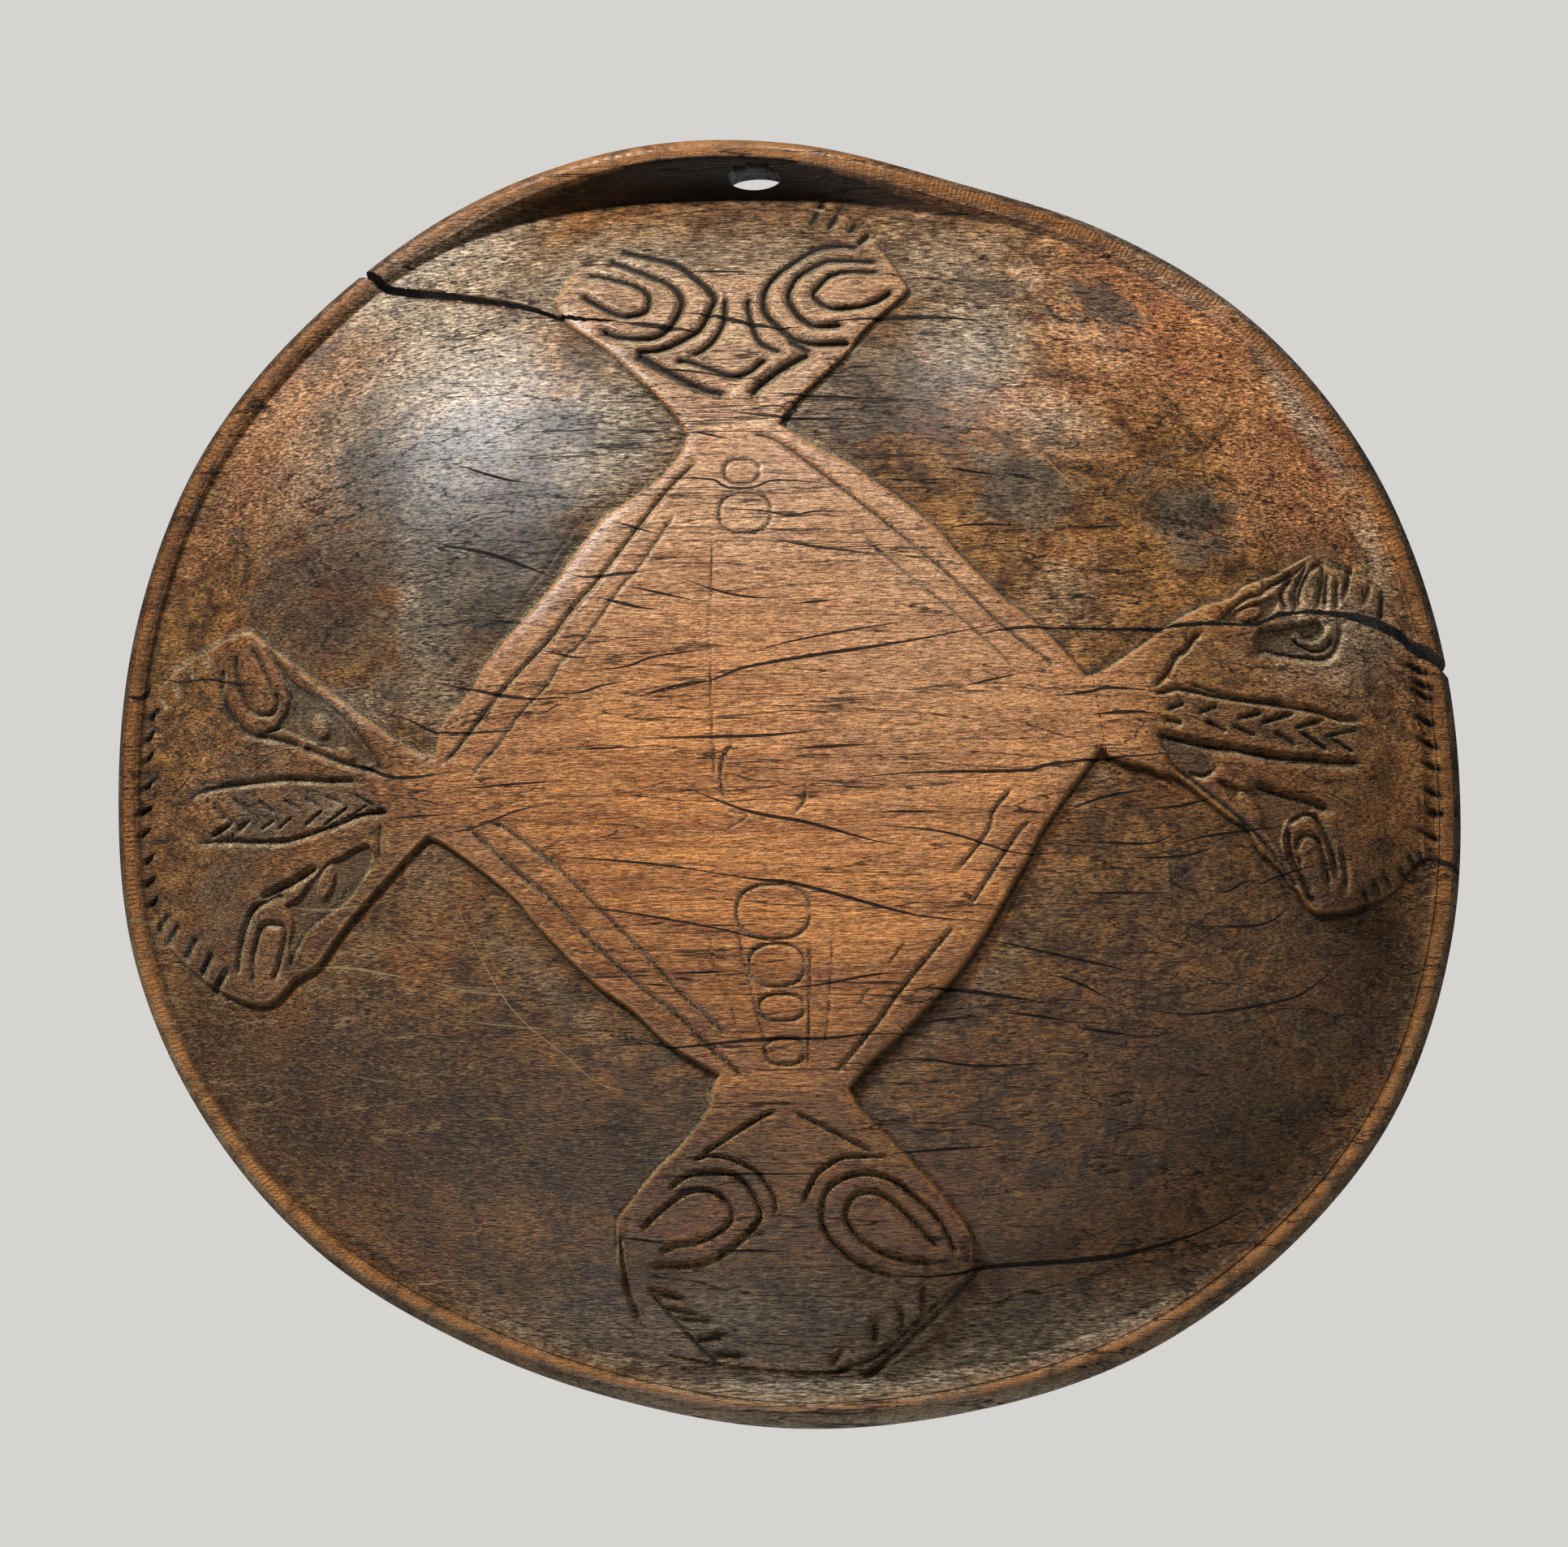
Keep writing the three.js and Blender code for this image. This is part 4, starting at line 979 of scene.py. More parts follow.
for key in bowl_values:
    bowl_values[key] = np.r_[bowl_values[key], pole_values.get(key, (0, 0))]
quads = ring_faces(len(rows), COLUMNS)
around = np.arange(COLUMNS)
onward = (around + 1) % COLUMNS
front_pole, back_pole = len(bx), len(bx) + 1
last_row = (len(rows) - 1) * COLUMNS
caps = np.concatenate([
    np.stack([np.full(COLUMNS, front_pole), around, onward], -1),
    np.stack([np.full(COLUMNS, back_pole), last_row + onward, last_row + around], -1),
])
triangles = np.concatenate([quads[:, [0, 1, 2]], quads[:, [0, 2, 3]], caps])
bowl = make_object("bowl", poles_x, poles_z, poles_h, triangles, bowl_values)
print("bowl triangles:", len(triangles))

# %% [markdown]
# ## The rim
# The ridge is narrow, worn round and nicked across all the way by the knife. It grows into
# the pierced flange at the top and into a broad lip at the bottom. A curve with a bevel would
# give it one section all round, and this one changes. So one closed ring of rows, with a fine
# step along it, carries the ridge, the cove inside it, the bevel outside and the back.

# %% Rim ring
STEPS, MEAN_RADIUS, NICK_LENGTH = 1900, 245, 4.1
rdeg = np.arange(STEPS) * 360 / STEPS
rim = rim_at(rdeg)
along = np.radians(rdeg) * MEAN_RADIUS
nick = np.abs(np.sin(np.pi * along / NICK_LENGTH + 2.2 * np.sin(along / 31))) ** 6
nick *= 0.5 + 0.5 * np.sin(along / 17)
wobble = uneven(along, 0 * along)
inner_s = 0.962
f = rim["flange"]
face = rim["height"] - belly_height(1.0)


def rim_rows():
    """Radius, height and crest mark of each row of the ring, from the belly outwards and
    round the back to the hollow."""
    foot, crest_in, crest_out, edge = rim["foot"], rim["crest_in"], rim["crest_out"], rim["edge"]
    yield inner_s * foot - 2.5, belly_height(inner_s) - 2.2, 0
    yield inner_s * foot, belly_height(inner_s) - 0.25, 0
    for s in np.linspace(0.9645, 0.9975, 14):
        yield s * foot, belly_height(s) + 0.1 - 0.45 * ramp(s, 0.98, 1.0), 0
    for t in (0.0, 0.12, 0.25, 0.38, 0.51, 0.64, 0.76, 0.87, 0.96):
        cove = belly_height(1.0) - 0.35 + face * (t**1.5 * (1 - f) + (t**0.8) * f)
        yield foot + t * (crest_in - foot), cove - 0.08 * nick * t, 0.25 * t**3
    width = crest_out - crest_in
    for t in np.linspace(0, 1, 8):
        rise = 0.9 * np.sin(np.pi * (0.12 + 0.76 * t)) - 0.5 - 0.9 * (1 - f) * (1 - ramp(t, 0.0, 0.5))
        ridge = ramp(t, 0.1, 0.5) * (1 - f) + f
        top = rim["height"] + rise - 0.2 * nick * ridge + 0.5 * wobble
        yield crest_in + t * width, top, 0.1 + 0.9 * ridge
    for t in (0.15, 0.35, 0.6, 0.85, 1.0):
        radius = crest_out + t * (edge - crest_out)
        yield radius, (rim["height"] - 0.3) * (1 - t**1.6) + rim["drop"] * t**1.6, 0.25 * (1 - t) + 0.6 * f
    for t in (0.25, 0.6, 0.88):
        yield edge - BACK_EDGE * t**2.4 + 0.25 * wobble, rim["drop"] * (1 - t) - BACK * t, 0
    inward = hollow_edge(rdeg)
    yield edge - BACK_EDGE - 0.4, 0.25 - BACK, 0
    yield edge - BACK_EDGE - 1.4, -BACK, 0
    yield inward + 1.2, -BACK, 0
    yield inward + 0.2, 0.3 - BACK, 0
    for s, lift in ((1.0, -0.12), (0.988, -0.12), (0.976, 0.08), (0.965, 2.5)):
        yield s * (inward - HOLLOW_EASE), hollow_height(s) + lift, 0


rrows = [np.broadcast_arrays(*row) for row in rim_rows()]
rr, rh, crest = (np.concatenate(column) for column in zip(*rrows))
rt = np.tile(np.radians(rdeg), len(rrows))
rx, rz = rr * np.cos(rt), rr * np.sin(rt)
row_of = np.repeat(np.arange(len(rrows)), STEPS)
print("rim rows:", len(rrows), "triangles:", 2 * len(rrows) * STEPS)

# %% [markdown]
# ## Dirt, wear and painted shade on the rim
# Soot and a painted shade darken the rim's foot, and a painted shade blackens the cove under
# the flange. The crest is rubbed bare. The outside is painted dark with shade on the sides and
# at the top, and pale at the bottom with dust and painted light, and the cove above the bottom
# lip is a painted shade. The rows run from the belly round to the back, so the row's number
# says where on the section a vertex lies, and a ramp over it marks each band.

# %% Rim values
OUTSIDE_ROWS, BACK_ROWS, LOW = (31, 34), (39, 41), (20, 110)
inner_rows = (row_of > 0) & (row_of < 28)
notch, notch_share, chip, chip_share = (np.zeros(rx.shape) for k in range(4))
notch[inner_rows], notch_share[inner_rows] = cut_depth(rx[inner_rows], rz[inner_rows], ALL_CUTS)
chip[inner_rows], chip_share[inner_rows] = cut_depth(rx[inner_rows], rz[inner_rows], PALE_CHIPS)
rh = rh - notch - chip
on_flange, on_lip = (np.tile(rim[key], len(rrows)) for key in ("flange", "lip"))
# the rim's foot, and on the flange the cove that faces down: soot and painted shade
foot_soot_and_cove_shade = np.where((row_of > 14) & (row_of < 17 + 8 * on_flange), 0.45 + 0.55 * on_flange, 0)
outside = ramp(row_of, *OUTSIDE_ROWS) * (1 - on_flange) * (1 - 0.7 * on_lip)
low = ramp(-rz, *LOW)
lip_face = low * on_lip * ramp(row_of, *OUTSIDE_ROWS) * (1 - ramp(row_of, *BACK_ROWS))
rcheck_d, rcheck_w = nearest_check(rx, rz, CHECKS, 3.0)
rim_values = {
    "crest": crest, "teeth": crest * (1 - on_flange) * (1 - on_lip),
    "cut": np.maximum(notch_share, foot_soot_and_cove_shade),
    "check_d": rcheck_d, "check_w": np.where(row_of < 39, rcheck_w, 0), "lit_face_and_dust": chip_share,
    **zone_values(rx, rz),
    "inside": 1.0 * (row_of > 40), "wear": crest * np.maximum(on_flange, 0.9 * low),
}
# painted shade on the outside at the sides and top and in the cove above the bottom lip; pale dust and
# painted light on the lower outside and the lip's face
bands = {
    "dark": 0.8 * outside * (1 - low), "deep": low * (row_of > 15) * (row_of < 25),
    "lit_face_and_dust": np.maximum(0.9 * outside * low, 0.8 * lip_face),
}
for key, band in bands.items():
    rim_values[key] = np.maximum(rim_values[key], band)
rim_lip = make_object("rim_lip", rx, rz, rh, ring_faces(len(rrows), STEPS, closed_rows=True), rim_values)
print("rim rows with dirt:", int((rim_values["cut"] > 0.1).sum() / STEPS))

# %% [markdown]
# ## The relief patches
# The lozenge and the heads are one carving on the real dish. One grid fine enough for the
# grooves would be far too large, so there are six patches, each a grid over the plan that is
# kept only near its part of the relief. They meet along the lozenge's middle and at the
# necks, where one patch runs a little under the other.

# %% Patches
# name: grid pitch, box, and the lines that it ends at: normal, offset, and whether it
# runs on past the line, a little under its neighbour
PATCHES = {
    "lozenge_upper": (0.68, (-134, 128, -1, 132), [
        (0, 1, 0, True), (0, -1, -123.3, False), (1, 0, -126.3, False), (-0.985, -0.17, -117.8, False)]),
    "lozenge_lower": (0.66, (-134, 128, -124, 1), [
        (0, -1, -0.2, False), (0, 1, -116.3, False), (1, 0, -126.3, False), (-0.985, -0.17, -117.8, False)]),
    "head_top": (0.5, (-98, 58, 122, 232), [(0, 1, 123.5, True)]),
    "head_left": (0.54, (-248, -125, -94, 68), [(-1, 0, 126.5, True)]),
    "head_right": (0.54, (108, 246, -64, 92), [(0.985, 0.17, 118.0, True)]),
    "head_bottom": (0.5, (-74, 82, -232, -115), [(0, -1, 116.5, True)]),
}
OVERLAP, SUNK_BACK, MARGIN = 0.8, 2.4, 6.6


def patch(name):
    """A closed slab: the relief with its bank on top, the same grid sunk into the belly, and
    walls between."""
    pitch, (x0, x1, z0, z1), limits = PATCHES[name]
    xs, zs = np.arange(x0, x1, pitch), np.arange(z0, z1, pitch)
    gx, gz = (a.ravel() for a in np.meshgrid(xs, zs))
    reach = np.hypot(gx, gz) / rim_at(np.degrees(np.arctan2(gz, gx)))["foot"]
    near = np.all([gx * nx + gz * nz - c > -2 * OVERLAP for nx, nz, c, over in limits], axis=0)
    near &= reach < DOME_FOOT
    e = np.full(gx.shape, -99.0)
    e[near] = relief_inside(gx[near], gz[near])
    keep = e > -MARGIN
    under = np.zeros(gx.shape)
    for nx, nz, c, over in limits:
        beyond = gx * nx + gz * nz - c
        keep &= beyond > (-OVERLAP if over else 0)
        if over:
            under = np.maximum(under, 0.06 * (1 - ramp(beyond, 0, 0.6)))
    columns = len(xs)
    grid = np.arange(gx.size).reshape(len(zs), columns)
    ok = keep.reshape(grid.shape)
    cell = ok[:-1, :-1] & ok[1:, :-1] & ok[:-1, 1:] & ok[1:, 1:]
    a, b, c, d = grid[:-1, :-1][cell], grid[:-1, 1:][cell], grid[1:, 1:][cell], grid[1:, :-1][cell]
    front_faces = np.stack([a, b, c, d], -1)
    used = np.unique(front_faces)
    index = np.full(gx.size, -1)
    index[used] = np.arange(len(used))
    front_faces = index[front_faces]
    back_faces = front_faces[:, ::-1] + len(used)
    edges = np.concatenate([front_faces[:, [k, (k + 1) % 4]] for k in range(4)])
    code = edges[:, 0].astype(np.int64) * len(used) + edges[:, 1]
    mirror = edges[:, 1].astype(np.int64) * len(used) + edges[:, 0]
    rim_edges = edges[~np.isin(code, mirror)]
    start, stop = rim_edges.T
    walls = np.stack([stop, start, start + len(used), stop + len(used)], -1)

    def facing(field):
        """How steeply a field over the grid falls towards the upper left."""
        slope_z, slope_x = np.gradient(field.reshape(grid.shape), pitch)
        return np.nan_to_num(0.55 * slope_x - 0.83 * slope_z).ravel()[used]

    up_left = ramp(facing(e), 0.1, 0.7)
    gx, gz, e, under, reach = gx[used], gz[used], e[used], under[used], reach[used]
    strength = relief_strength(gx, gz)
    belly = belly_at(gx, gz)
    deep, share = cut_depth(gx, gz, ALL_CUTS)
    chip, chip_share = cut_depth(gx, gz, PALE_CHIPS)
    sunk, sunk_share = sunk_depth(gx, gz)
    on = ramp(e, -0.5, 0.9)
    lift = strength * (RELIEF + TRENCH) * on + bank(np.minimum(-e, 90), strength)
    pillow = strength * (RELIEF + 1.0 * (1 - np.exp(-(e - 0.9) / 2.6)))
    lift = np.where(e > 0.9, pillow, lift) + 0.05 * ramp(-e, 2, 4)
    dents = uneven(gx, gz) * (1 - ramp(reach, 0.93, 0.985))
    skirt = 0.16 * ramp(-e, MARGIN - 2.2, MARGIN)
    carved = lift - np.maximum(deep * (0.4 + 0.6 * strength), sunk) - chip
    top = belly + carved + dents - under - skirt
    field = np.full(grid.size, np.nan)
    field[used] = carved
    trench = ramp(e, -3.0, -1.2) * (1 - ramp(e, 0.2, 1.0))
    # pale on faces turned to the key light, and in the trench on its lit side: dust and painted light
    lit_face_and_dust = np.maximum(ramp(facing(field), 0.25, 1.1) * ramp(e, -5.0, -3.5), 0.8 * trench * up_left)
    lit_face_and_dust = np.maximum(lit_face_and_dust, chip_share)
    check_d, check_w = nearest_check(gx, gz, CHECKS)
    scratch_d, scratch_w = nearest_check(gx, gz, SCRATCH_LINES)
    heart = 1 - 0.75 * ramp(np.maximum(np.abs(gx), np.abs(gz)), 105, 155) * (1 - 0.5 * ramp(gz, 110, 130))
    values = {
        "cut": share, "sunk": sunk_share, "lit_face_and_dust": lit_face_and_dust,
        "wear": strength * ramp(e, 0.0, 0.9) * (1 - ramp(e, 1.0, 2.8)),
        # the relief's foot: dirt and painted shade, weaker on the side that faces the key light
        "foot": strength * ramp(e, -3.2, -0.4) * (1 - ramp(e, -0.3, 0.7)) * (1 - 0.85 * up_left),
        "relief": heart * ramp(e, -0.3, 0.7) * (0.1 + 0.9 * strength),
        "check_d": check_d, "check_w": check_w, "scratch_d": scratch_d, "scratch_w": scratch_w,
        **zone_values(gx, gz),
    }
    faces = np.concatenate([front_faces, back_faces, walls])
    print(name, "triangles:", 2 * len(faces))
    return make_object(
        name, np.tile(gx, 2), np.tile(gz, 2), np.r_[top, belly - SUNK_BACK], faces,
        {key: np.tile(v, 2) for key, v in values.items()},
    )


reliefs = {name: patch(name) for name in PATCHES}

# %% [markdown]
# ## Splits and the hanging hole
# Two drying splits run in from the rim, and a flat oval hole pierces the flange. They could
# be drawn into the grids, but a Boolean modifier with one solid cutter each goes through
# bowl, rim and relief alike. The splits' sides are jittered a little, because wood tears
# along its fibres.

# %% Cutters
SPLITS = {
    "split_right": (
        [(99, 48.6), (130, 49.3), (159, 51.6), (173, 52.6), (181, 56.2), (190, 57.6), (200, 58), (212, 57.6),
         (222, 55), (231, 50), (240, 44.3), (262, 33)],
        [(99, 48.4), (130, 48.1), (159, 50), (173, 50.6), (180, 53.8), (188, 56), (200, 56), (212, 54),
         (222, 50.5), (231, 45), (240, 39.5), (262, 28)],
    ),
    "split_upper_left": (
        [(-176, 205.5), (-158, 195.5), (-151, 190.6), (-141, 188), (-122, 184.2), (-96, 177), (-80, 171.2),
         (-62, 168.2)],
        [(-176, 202), (-158, 191.7), (-152, 187.4), (-141, 184.8), (-122, 181.4), (-96, 175.2), (-80, 169.7),
         (-62, 167.8)],
    ),
}
SLANT = {"split_right": 0.33, "split_upper_left": 0.25, "hole": 0.0}
REACH = 90
TEAR, TEAR_POINTS = 0.16, 90


def lip_height(x, z):
    """Height of the belly at a cutter's side, whose ends lie beyond the plate's edge."""
    return belly_at(np.clip(x, -225, 225), np.clip(z, -225, 190))


def prism(name, upper, lower):
    """A closed solid along the viewing axis between two lines with the same number of points."""
    n = len(upper)
    plan = np.vstack([upper, lower])
    x, z = np.tile(plan[:, 0], 2), np.tile(plan[:, 1], 2)
    h = np.r_[np.full(2 * n, REACH), np.full(2 * n, -REACH)]
    z = z + SLANT[name] * (h - lip_height(x, z))
    u, v = np.arange(n - 1), np.arange(n - 1) + n
    front_faces = np.stack([u, v, v + 1, u + 1], -1)
    back_faces = front_faces[:, ::-1] + 2 * n
    up = np.stack([u, u + 1, u + 1 + 2 * n, u + 2 * n], -1)
    down = np.stack([v + 1, v, v + 2 * n, v + 1 + 2 * n], -1)
    ends = [[0, 2 * n, 3 * n, n], [n - 1, 2 * n - 1, 4 * n - 1, 3 * n - 1]]
    made = make_object(name, x, z, h, np.concatenate([front_faces, back_faces, up, down, ends]),
                       {"cut": np.ones(len(x)), "check_w": np.ones(len(x)), "check_d": np.zeros(len(x))})
    made.hide_render = True
    return made


def torn(points):
    """A split's side: the smooth line at TEAR_POINTS places, jittered more and more inwards."""
    line = smooth(points, 0.5)
    at = np.linspace(0, len(line) - 1, TEAR_POINTS)
    x, z = (np.interp(at, np.arange(len(line)), line[:, k]) for k in (0, 1))
    return np.stack([x, z + rng.normal(0, TEAR, TEAR_POINTS) * ramp(np.arange(TEAR_POINTS), 4, 30)], -1)


cutters, lips = [], []
for name, sides in SPLITS.items():
    tracks = [torn(points) for points in sides]
    lips += [(SLANT[name], track) for track in tracks]
    cutters.append(prism(name, *tracks))
half_turn = np.linspace(0, np.pi, 25)[1:-1]
lens = np.stack([-HOLE_WIDTH / 2 * np.cos(half_turn), HOLE_HEIGHT / 2 * np.sin(half_turn)], -1)
hole = prism("hole", lens + (hole_x, hole_z), lens * (1, -1) + (hole_x, hole_z))
print("cutters:", [c.name for c in cutters + [hole]])

# %% [markdown]
# ## Walls of the cuts
# The walls of the splits and of the hole lie in deep shade, so they are painted black with a
# painted shade. The Boolean makes these walls as new faces, whose edges take their values from
# the wood round them. A dark material of their own would stop at a hard line, so we find the
# walls' vertices by where they lie and give them the full dark, and the black fades out over
# the first faces outside.

# %% Walls of the cuts
def on_wall(x, z, h):
    """Whether a point lies on a wall of the hole, an upright oval, or of a split, where z is
    its lip's z and a share of the height above the belly at the lip."""
    found = np.abs(np.hypot(2 * (x - hole_x) / HOLE_WIDTH, 2 * (z - hole_z) / HOLE_HEIGHT) - 1) < 0.04
    for slant, lip in lips:
        level = np.interp(x, lip[:, 0], lip_height(*lip.T))
        meant = np.interp(x, lip[:, 0], lip[:, 1]) + slant * (h - level)
        found |= (x > lip[0, 0]) & (x < lip[-1, 0]) & (np.abs(z - meant) < 0.05)
    return found


print("hole's side is a wall:", on_wall(hole_x + HOLE_WIDTH / 2, hole_z, 0))

# %% Apply the cuts
to_cut = {"bowl": cutters + [hole], "rim_lip": cutters + [hole], "lozenge_upper": cutters[:1],
          "head_right": cutters[:1], "head_top": cutters[1:]}
pieces = {"bowl": bowl, "rim_lip": rim_lip, **reliefs}
for name, tools in to_cut.items():
    target = pieces[name]
    for tool in tools:
        modifier = target.modifiers.new(tool.name, "BOOLEAN")
        modifier.operation = "DIFFERENCE"
        modifier.solver = "MANIFOLD"
        modifier.object = tool
    graph = bpy.context.evaluated_depsgraph_get()
    finished = bpy.data.meshes.new_from_object(target.evaluated_get(graph))
    target.modifiers.clear()
    target.data = finished
    at = np.empty(3 * len(finished.vertices))
    finished.vertices.foreach_get("co", at)
    wall = on_wall(1000 * at[0::3] + hole_x, 1000 * at[2::3] + hole_z, -1000 * at[1::3])
    grime_and_shade = np.empty(len(finished.vertices))
    finished.attributes["cut"].data.foreach_get("value", grime_and_shade)
    # the walls of the splits and of the hole get the full dark: a painted shade
    finished.attributes["cut"].data.foreach_set("value", np.where(wall, 1.0, grime_and_shade))
    print(name, "faces after cuts:", len(finished.polygons), "on walls:", int(wall.sum()))
for tool in cutters + [hole]:
    bpy.data.objects.remove(tool)
for piece in pieces.values():
    piece.data.set_sharp_from_angle(angle=np.radians(50))

# %% [markdown]
# ## Shader arithmetic
# A shader is a formula over the surface. A small class lets us write it as one: it wraps a
# node's output, and plus, minus and times add the nodes. Colours and vectors go through the
# Mix and Vector Math nodes.


# %% Node helpers
class Val:
    """A number, vector, colour or shader inside a node tree, for use in expressions."""

    def __init__(self, tree, socket):
        self.tree, self.socket = tree, socket

    def _math(self, operation, *others, flip=False):
        """A Math node on this value and the others, or on the other and this if flipped."""
        node = self.tree.nodes.new("ShaderNodeMath")
        node.operation = operation
        terms = (others[0], self) if flip else (self, *others)
        for slot, term in zip(node.inputs, terms):
            if isinstance(term, Val):
                self.tree.links.new(term.socket, slot)
            else:
                slot.default_value = float(term)
        return Val(self.tree, node.outputs[0])

    def __add__(self, other):
        return self._math("ADD", other)

    def __sub__(self, other):
        return self._math("SUBTRACT", other)

    def __rsub__(self, other):
        return self._math("SUBTRACT", other, flip=True)

    def __mul__(self, other):
        return self._math("MULTIPLY", other)

    __radd__, __rmul__ = __add__, __mul__

    def size(self):
        """The value without its sign."""
        return self._math("ABSOLUTE")

    def at_most(self, other):
        """The smaller of the two."""
        return self._math("MINIMUM", other)

    def at_least(self, other):
        """The larger of the two."""
        return self._math("MAXIMUM", other)

    def sine(self):
        """The sine of an angle in radians."""
        return self._math("SINE")

    def ramp(self, low, high):
        """0 at low, 1 at high, clamped, and an S curve between."""
        node = self.tree.nodes.new("ShaderNodeMapRange")
        node.interpolation_type = "SMOOTHSTEP"
        self.tree.links.new(self.socket, node.inputs["Value"])
        for key, term in (("From Min", low), ("From Max", high)):
            if isinstance(term, Val):
                self.tree.links.new(term.socket, node.inputs[key])
            else:
                node.inputs[key].default_value = term
        return Val(self.tree, node.outputs["Result"])


class Nodes:
    """The node tree of a material or world, with short ways to add nodes."""

    def __init__(self, owner):
        owner.use_nodes = True
        self.owner, self.tree = owner, owner.node_tree
        self.tree.nodes.clear()

    def node(self, kind, settings=None, inputs=None, output=0):
        """Adds a node of that type, with its settings and inputs, and returns one output."""
        node = self.tree.nodes.new("ShaderNode" + kind)
        for key, value in (settings or {}).items():
            setattr(node, key, value)
        for key, value in (inputs or {}).items():
            if isinstance(value, Val):
                self.tree.links.new(value.socket, node.inputs[key])
            else:
                node.inputs[key].default_value = value
        return Val(self.tree, node.outputs[output]) if node.outputs else None

    def value(self, name):
        """A value stored at the vertices."""
        return self.node("Attribute", {"attribute_name": name}, output="Fac")

    def stretch(self, vector, sx, sy, sz):
        """The vector with each part multiplied."""
        return self.node("VectorMath", {"operation": "MULTIPLY"}, {0: vector, 1: (sx, sy, sz)})

    def noise(self, vector, detail, rough, warp):
        """Soft noise around 0.5, about one cycle for each unit of the vector."""
        return self.node("TexNoise", None, {
            "Vector": vector, "Scale": 1.0, "Detail": detail, "Roughness": rough, "Distortion": warp,
        })

    def shade(self, tint, factor):
        """A colour made lighter or darker by a factor."""
        return self.node("VectorMath", {"operation": "SCALE"}, {0: tint, "Scale": factor})

    def mix(self, factor, a, b):
        """Colour a where the factor is 0 and colour b where it is 1."""
        settings = {"data_type": "RGBA", "clamp_factor": True}
        return self.node("Mix", settings, {0: factor, 6: a, 7: b}, output=2)

    def tones(self, pattern, low, high, dark, light):
        """From a dark to a light display colour as a pattern runs from low to high."""
        return self.mix(pattern.ramp(low, high), colour(*dark), colour(*light))


def colour(red, green, blue):
    """A display colour of 0 to 255 as linear red, green, blue and 1."""
    c = np.array([red, green, blue]) / 255
    linear = np.where(c <= 0.04045, c / 12.92, ((c + 0.055) / 1.055) ** 2.4)
    return (*linear.tolist(), 1.0)


print("mid grey:", colour(128, 128, 128))

# %% [markdown]
# ## Patterns of the wood
# Old wood can be painted, scanned or described by rules. Rules need no picture and stay
# sharp at any distance, so one procedural wood covers every piece. Its patterns are noises
# over the object's own coordinates, stretched along the level grain, so they run on from
# piece to piece as in one plank. What differs from place to place comes from the values
# stored at the vertices.

# %% Patterns: cycles per mm along X, Y and Z, then detail, roughness and warp
PATTERNS = {
    "figure": (0.012, 0.10, 0.16, 5, 0.6, 0.6), "streaks": (0.05, 0.5, 1.0, 4, 0.6, 0.3),
    "dashes": (0.16, 1.3, 2.6, 2, 0.6, 0), "cloud": (0.022, 0.03, 0.022, 4, 0.6, 0.8),
    "blotch": (0.075, 0.10, 0.10, 5, 0.7, 1.0), "speck": (0.5, 0.8, 1.35, 3, 0.7, 0),
    "pits": (1.2, 1.4, 1.6, 2, 0.6, 0), "hatch": (0.24, 0.8, 1.7, 3, 0.7, 0.3),
    "stain": (0.03, 0.05, 0.045, 6, 0.7, 0.8), "knobs": (0.3, 0.6, 0.9, 2, 0.6, 0),
    "hair": (0.0045, 0.05, 0.095, 5, 0.5, 0.25), "gate": (0.016, 0.03, 0.06, 2, 0.5, 0),
}
wood = Nodes(bpy.data.materials.new("aged_wood"))
place = wood.stretch(wood.node("TexCoord", output="Object"), 1000, 1000, 1000)
figure, streaks, dashes, cloud, blotch, speck, pits, hatch, stain, knobs, hair_field, gate_field = (
    wood.noise(wood.stretch(place, x, y, z), detail, rough, warp)
    for x, y, z, detail, rough, warp in PATTERNS.values()
)
relief, dark, warm, pale, deep, polish = (
    wood.value(key) for key in ("relief", "dark", "warm", "pale", "deep", "polish"))
inner, crest, wear, sunk, lit_face_and_dust, cut, foot = (
    wood.value(key) for key in ("inside", "crest", "wear", "sunk", "lit_face_and_dust", "cut", "foot"))
side, height = (wood.node("SeparateXYZ", None, {0: place}, output=k) for k in (0, 2))
print("patterns:", list(PATTERNS))

# %% [markdown]
# ## Colour of the belly
# The real belly is dark brown, orange where it was rubbed, rusty in blots, grey where it is
# dusty and nearly black where soot has settled. Light and shade are painted in as well: a
# painted shade darkens the lower belly, and a painted light makes its upper part lighter, with
# a painted highlight on the upper left shoulder. It could be one painted map, but one mix for
# each cause, laid over the last, keeps each of them easy to change. A mask is a zone's value
# plus some noise, which breaks up the zone's round border.

# %% Belly
belly_wood = wood.tones(blotch, 0.34, 0.66, (62, 38, 17), (132, 90, 44))
reddish = (cloud - 0.5 + 0.5 * (streaks - 0.5)).ramp(-0.05, 0.18)
belly_wood = wood.mix(reddish * 0.6, belly_wood, colour(118, 68, 26))
orange = (warm + 1.1 * (blotch - 0.5) + 0.9 * (cloud - 0.5) + 0.5 * (streaks - 0.5)).ramp(0.25, 0.7)
rubbed = wood.tones(speck, 0.35, 0.7, (108, 66, 38), (168, 118, 74))
belly_wood = wood.mix(orange * 0.8, belly_wood, rubbed)
rust = (warm + 1.6 * (stain - 0.5) + 1.0 * (blotch - 0.5)).ramp(0.65, 0.95)
belly_wood = wood.mix(rust * 0.5, belly_wood, colour(122, 66, 38))
# darker brown in the deep zones: a painted shade
painted_shade = (deep + 0.8 * (blotch - 0.5)).ramp(0.1, 0.8)
belly_wood = wood.mix(painted_shade * 0.7, belly_wood, colour(54, 34, 12))
